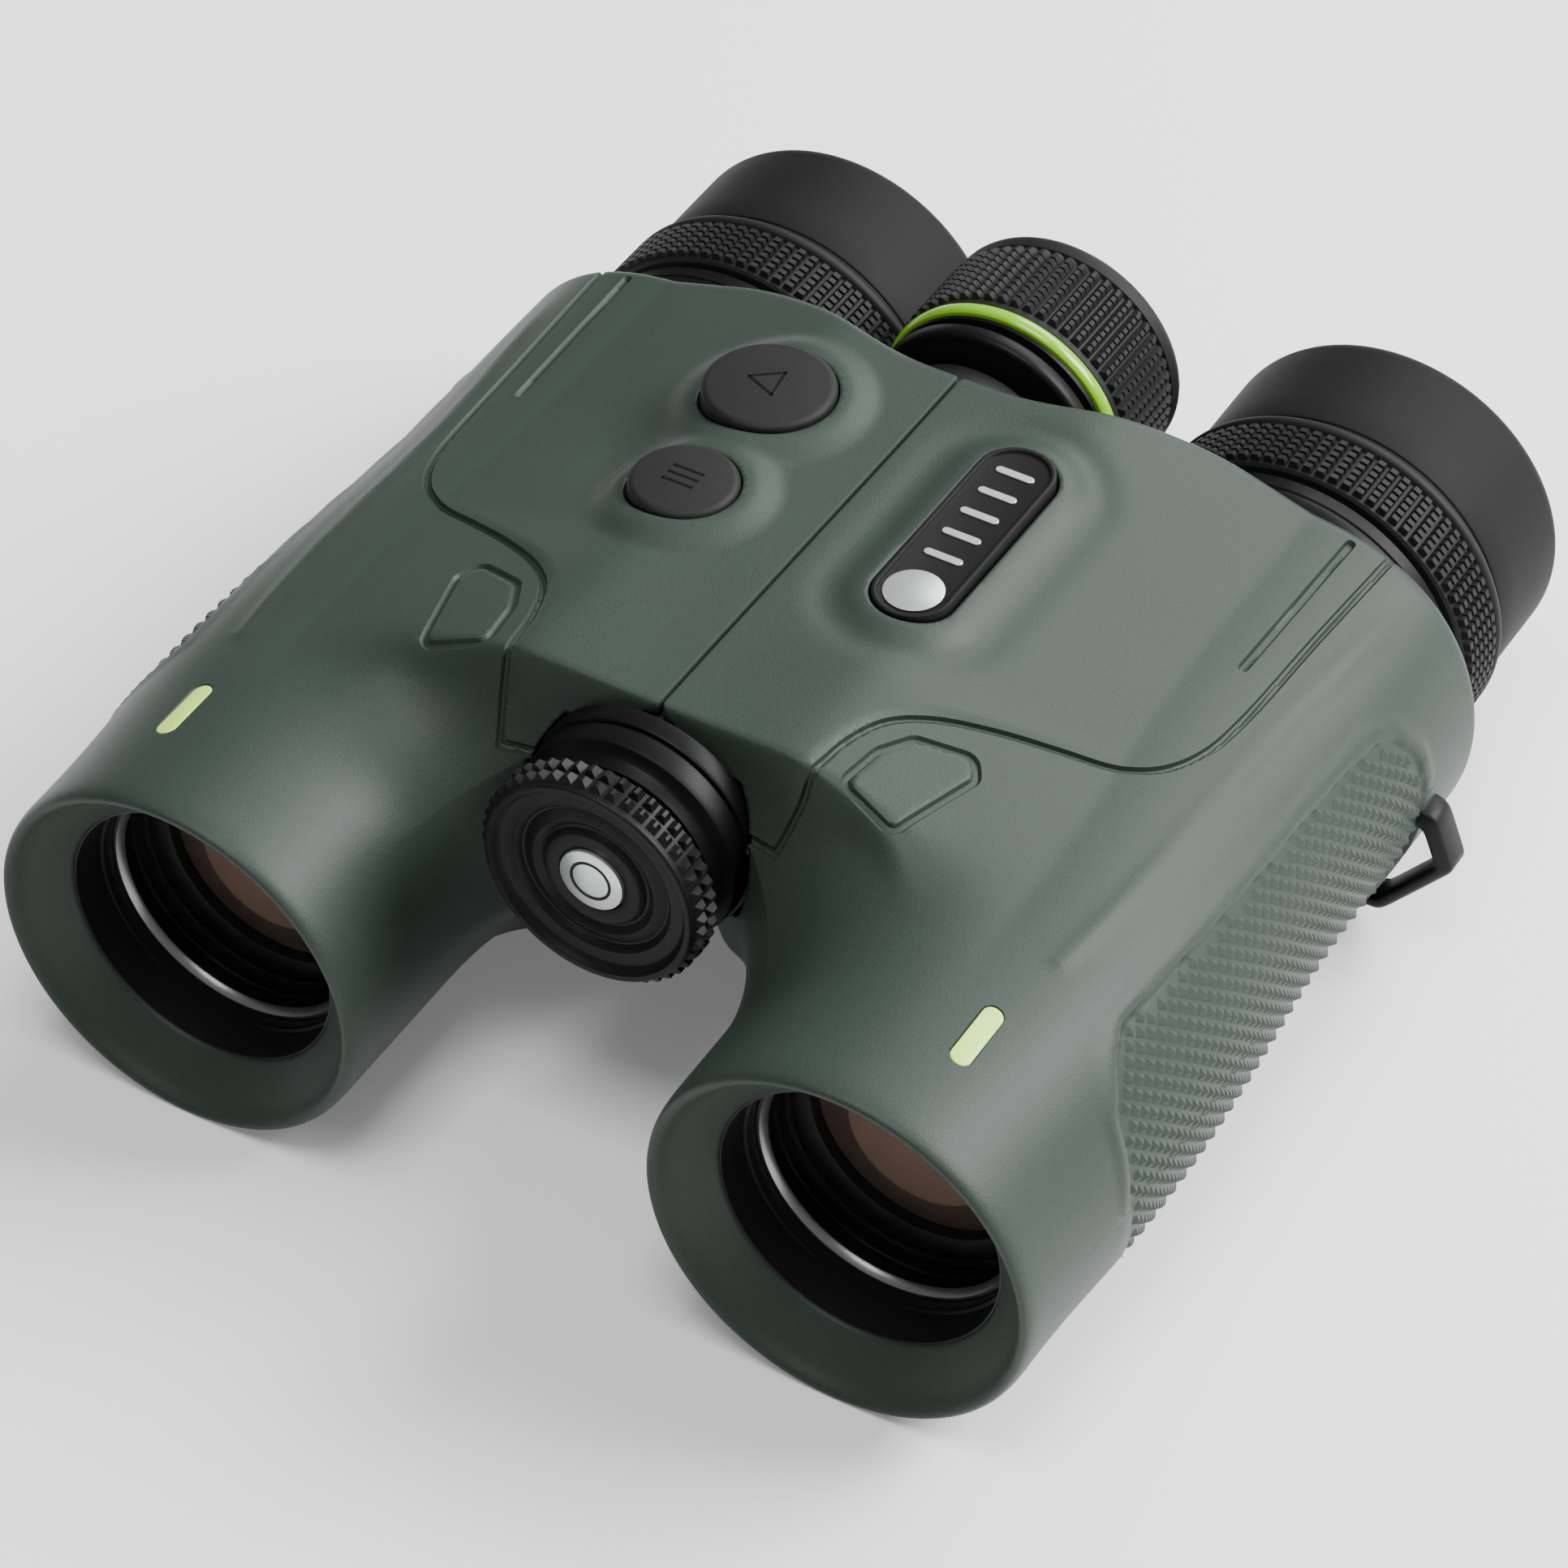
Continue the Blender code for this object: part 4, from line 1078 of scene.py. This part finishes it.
def rounded_polygon(corners, middle, inset, sharpness=18, count=96):
    """Convex outline with round corners, as points at even angles round its middle."""
    angles = np.linspace(0, 2 * math.pi, count, endpoint=False)
    rays = np.stack([np.cos(angles), np.sin(angles)], -1)
    inverse = np.zeros(count)
    for i, corner in enumerate(corners):
        start = np.array(corner) - middle
        along = np.array(corners[(i + 1) % len(corners)]) - corner
        normal = np.array([-along[1], along[0]]) / np.hypot(*along)
        share = rays @ normal / (normal @ start - inset)
        inverse += np.maximum(share, 0) ** sharpness
    return middle + rays * (inverse ** (-1 / sharpness))[:, None]


def make_lug(side):
    """Strap loop: a rounded frame with a window, set into the side of the armour."""
    word = WORDS[side]
    front = low_mm(word + "_strap_lug")[1]
    rear = high_mm(word + "_strap_lug")[1]
    rounds = [(0.0, 0.55), (0.16, 0.16), (0.55, 0.0)]
    levels = [(front + back, inset) for inset, back in reversed(rounds)]
    levels += [(rear - back, inset) for inset, back in rounds]
    loops = [(y, rounded_polygon(LUG_FRAME, LUG_MIDDLE, inset)) for y, inset in levels]
    loops += [(y, rounded_polygon(LUG_WINDOW, LUG_MIDDLE, -inset))
              for y, inset in reversed(levels)]
    count = len(loops[0][1])
    points = [(side * x * MM, y * MM, world(0, 0, z)[2]) for y, loop in loops
              for x, z in loop]
    faces = quads_between(len(loops), count, True, True)
    lug = object_from(word + "_strap_loop", points, faces, "plastic", word + "_half",
                      50)
    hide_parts(word + "_strap_lug")


def make_objective(side):
    word = WORDS[side]
    x = side * OBJECTIVE_HALF
    cell = [(1.2, 16.6), (1.2, 18.0), (29.0, 18.0), (29.0, 11.6)]
    inner = [(26.0, 11.6), (22.0, 12.0), (17.6, 12.2), (17.6, 13.1), (13.2, 13.1),
             (13.0, 13.6), (12.9, 15.75), (5.0, 15.75), (4.9, 16.2), (4.2, 16.25),
             (4.1, 16.5)]
    made = turned(word + "_cell_body", cell + inner, x, 0, "bore", word + "_half")
    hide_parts(word + "_objective_cell")
    liner = [(0.5, 16.1), (7.4, 16.1), (7.4, 16.27), (0.5, 16.27)]
    turned(word + "_bore_liner", liner, x, 0, "bore", word + "_half")
    ring = [(6.5, 15.2), (6.6, 15.6), (7.4, 15.6), (7.5, 14.75), (7.35, 14.6),
            (7.1, 14.7), (6.7, 15.0)]
    made = turned(word + "_lens_ring", ring, x, 0, "ring", word + "_half")
    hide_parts(word + "_retaining_ring")
    for i, (y, radius) in enumerate(((9.6, 15.3), (11.2, 14.6))):
        step = [(y, radius + 0.4), (y, radius), (y + 0.25, radius - 0.12),
                (y + 0.7, radius), (y + 0.7, radius + 0.4)]
        turned("%s_baffle_step_%d" % (word, i), step, x, 0, "bore", word + "_half")


# ---- CAD nodes that stay

def finish_nodes():
    looks = {"chassis": "housing", "focus_cell": "metal", "focus_lens": "clear",
             "prism": "clear", "friction_ring": "metal"}
    single = {"hinge_tube": "bore", "battery": "wrap", "battery_spring": "brass",
              "cap_seal": "rubber", "focus_spindle": "steel", "focus_carriage": "brass",
              "circuit_board": "board", "laser_emitter": "plastic",
              "laser_receiver": "plastic", "display_module": "plastic",
              "power_switch": "steel", "mode_switch": "steel"}
    for side in ("left", "right"):
        for node, look in looks.items():
            single[side + "_" + node] = look
    for node, look in single.items():
        thing = frame["nodes"][node]
        thing.data.materials.clear()
        thing.data.materials.append(M[look])


# ---- stage

def make_stage():
    size = 4.0
    points = [(-size, -size, 0), (size, -size, 0), (size, size, 0), (-size, size, 0)]
    mesh = bpy.data.meshes.new("floor")
    mesh.from_pydata(points, [], [(0, 1, 2, 3)])
    floor = bpy.data.objects.new("floor", mesh)
    bpy.context.scene.collection.objects.link(floor)
    pale = new_material("floor_look", (0.92, 0.92, 0.92), 0.75, 0.0, specular=0.1,
                        Emission_Strength=0.14)
    mesh.materials.append(pale)
    world_light = bpy.data.worlds.new("studio")
    world_light.use_nodes = True
    background = world_light.node_tree.nodes["Background"]
    background.inputs["Color"].default_value = (1, 1, 1, 1)
    background.inputs["Strength"].default_value = 0.26
    bpy.context.scene.world = world_light


def area_light(name, place, target, size, power):
    light = bpy.data.lights.new(name, "AREA")
    light.shape = "SQUARE"
    light.size = size
    light.energy = power
    thing = bpy.data.objects.new(name, light)
    bpy.context.scene.collection.objects.link(thing)
    thing.location = place
    way = Vector(target) - Vector(place)
    thing.rotation_euler = way.to_track_quat("-Z", "Y").to_euler()


def make_lights():
    area_light("key", (0.72, 0.5, 0.72), (0, 0, 0.02), 0.6, 27.5)
    area_light("back", (0.05, 0.85, 0.66), (0, 0, 0.02), 0.55, 8.0)
    area_light("top", (0.05, -0.3, 1.1), (0, 0, 0.02), 0.5, 8.0)


CAMERA_AZIMUTH = math.radians(30.5)
CAMERA_ELEVATION = math.radians(42.7)
CAMERA_DISTANCE = 0.60196
CAMERA_RIGHT = 0.02712
CAMERA_UP = 0.03011
CAMERA_LENS = 134.72


def make_camera():
    """Long lens from the front right, aimed a little to the right and above."""
    back = Vector((math.sin(CAMERA_AZIMUTH) * math.cos(CAMERA_ELEVATION),
                   -math.cos(CAMERA_AZIMUTH) * math.cos(CAMERA_ELEVATION),
                   math.sin(CAMERA_ELEVATION)))
    right = Vector((math.cos(CAMERA_AZIMUTH), math.sin(CAMERA_AZIMUTH), 0))
    up = back.cross(right)
    data = bpy.data.cameras.new("camera")
    data.sensor_width = 36.0
    data.lens = CAMERA_LENS
    camera = bpy.data.objects.new("camera", data)
    bpy.context.scene.collection.objects.link(camera)
    place = (back * CAMERA_DISTANCE + right * CAMERA_RIGHT + up * CAMERA_UP
             + Vector(world(0, 0, 0)))
    camera.location = place
    camera.rotation_euler = (-back).to_track_quat("-Z", "Y").to_euler()
    bpy.context.scene.camera = camera


make_camera()
make_stage()
make_lights()
for side_sign in (-1, 1):
    make_skins(side_sign)
    make_grip(side_sign)
    make_mark(side_sign)
    make_eyepiece(side_sign)
    make_objective(side_sign)
    make_eye_lens(side_sign)
    make_front_lens(side_sign)
    make_lug(side_sign)
make_nameplate()
make_buttons()
make_battery_cap()
make_collar()
make_wheel()
make_rear_housing()
finish_nodes()
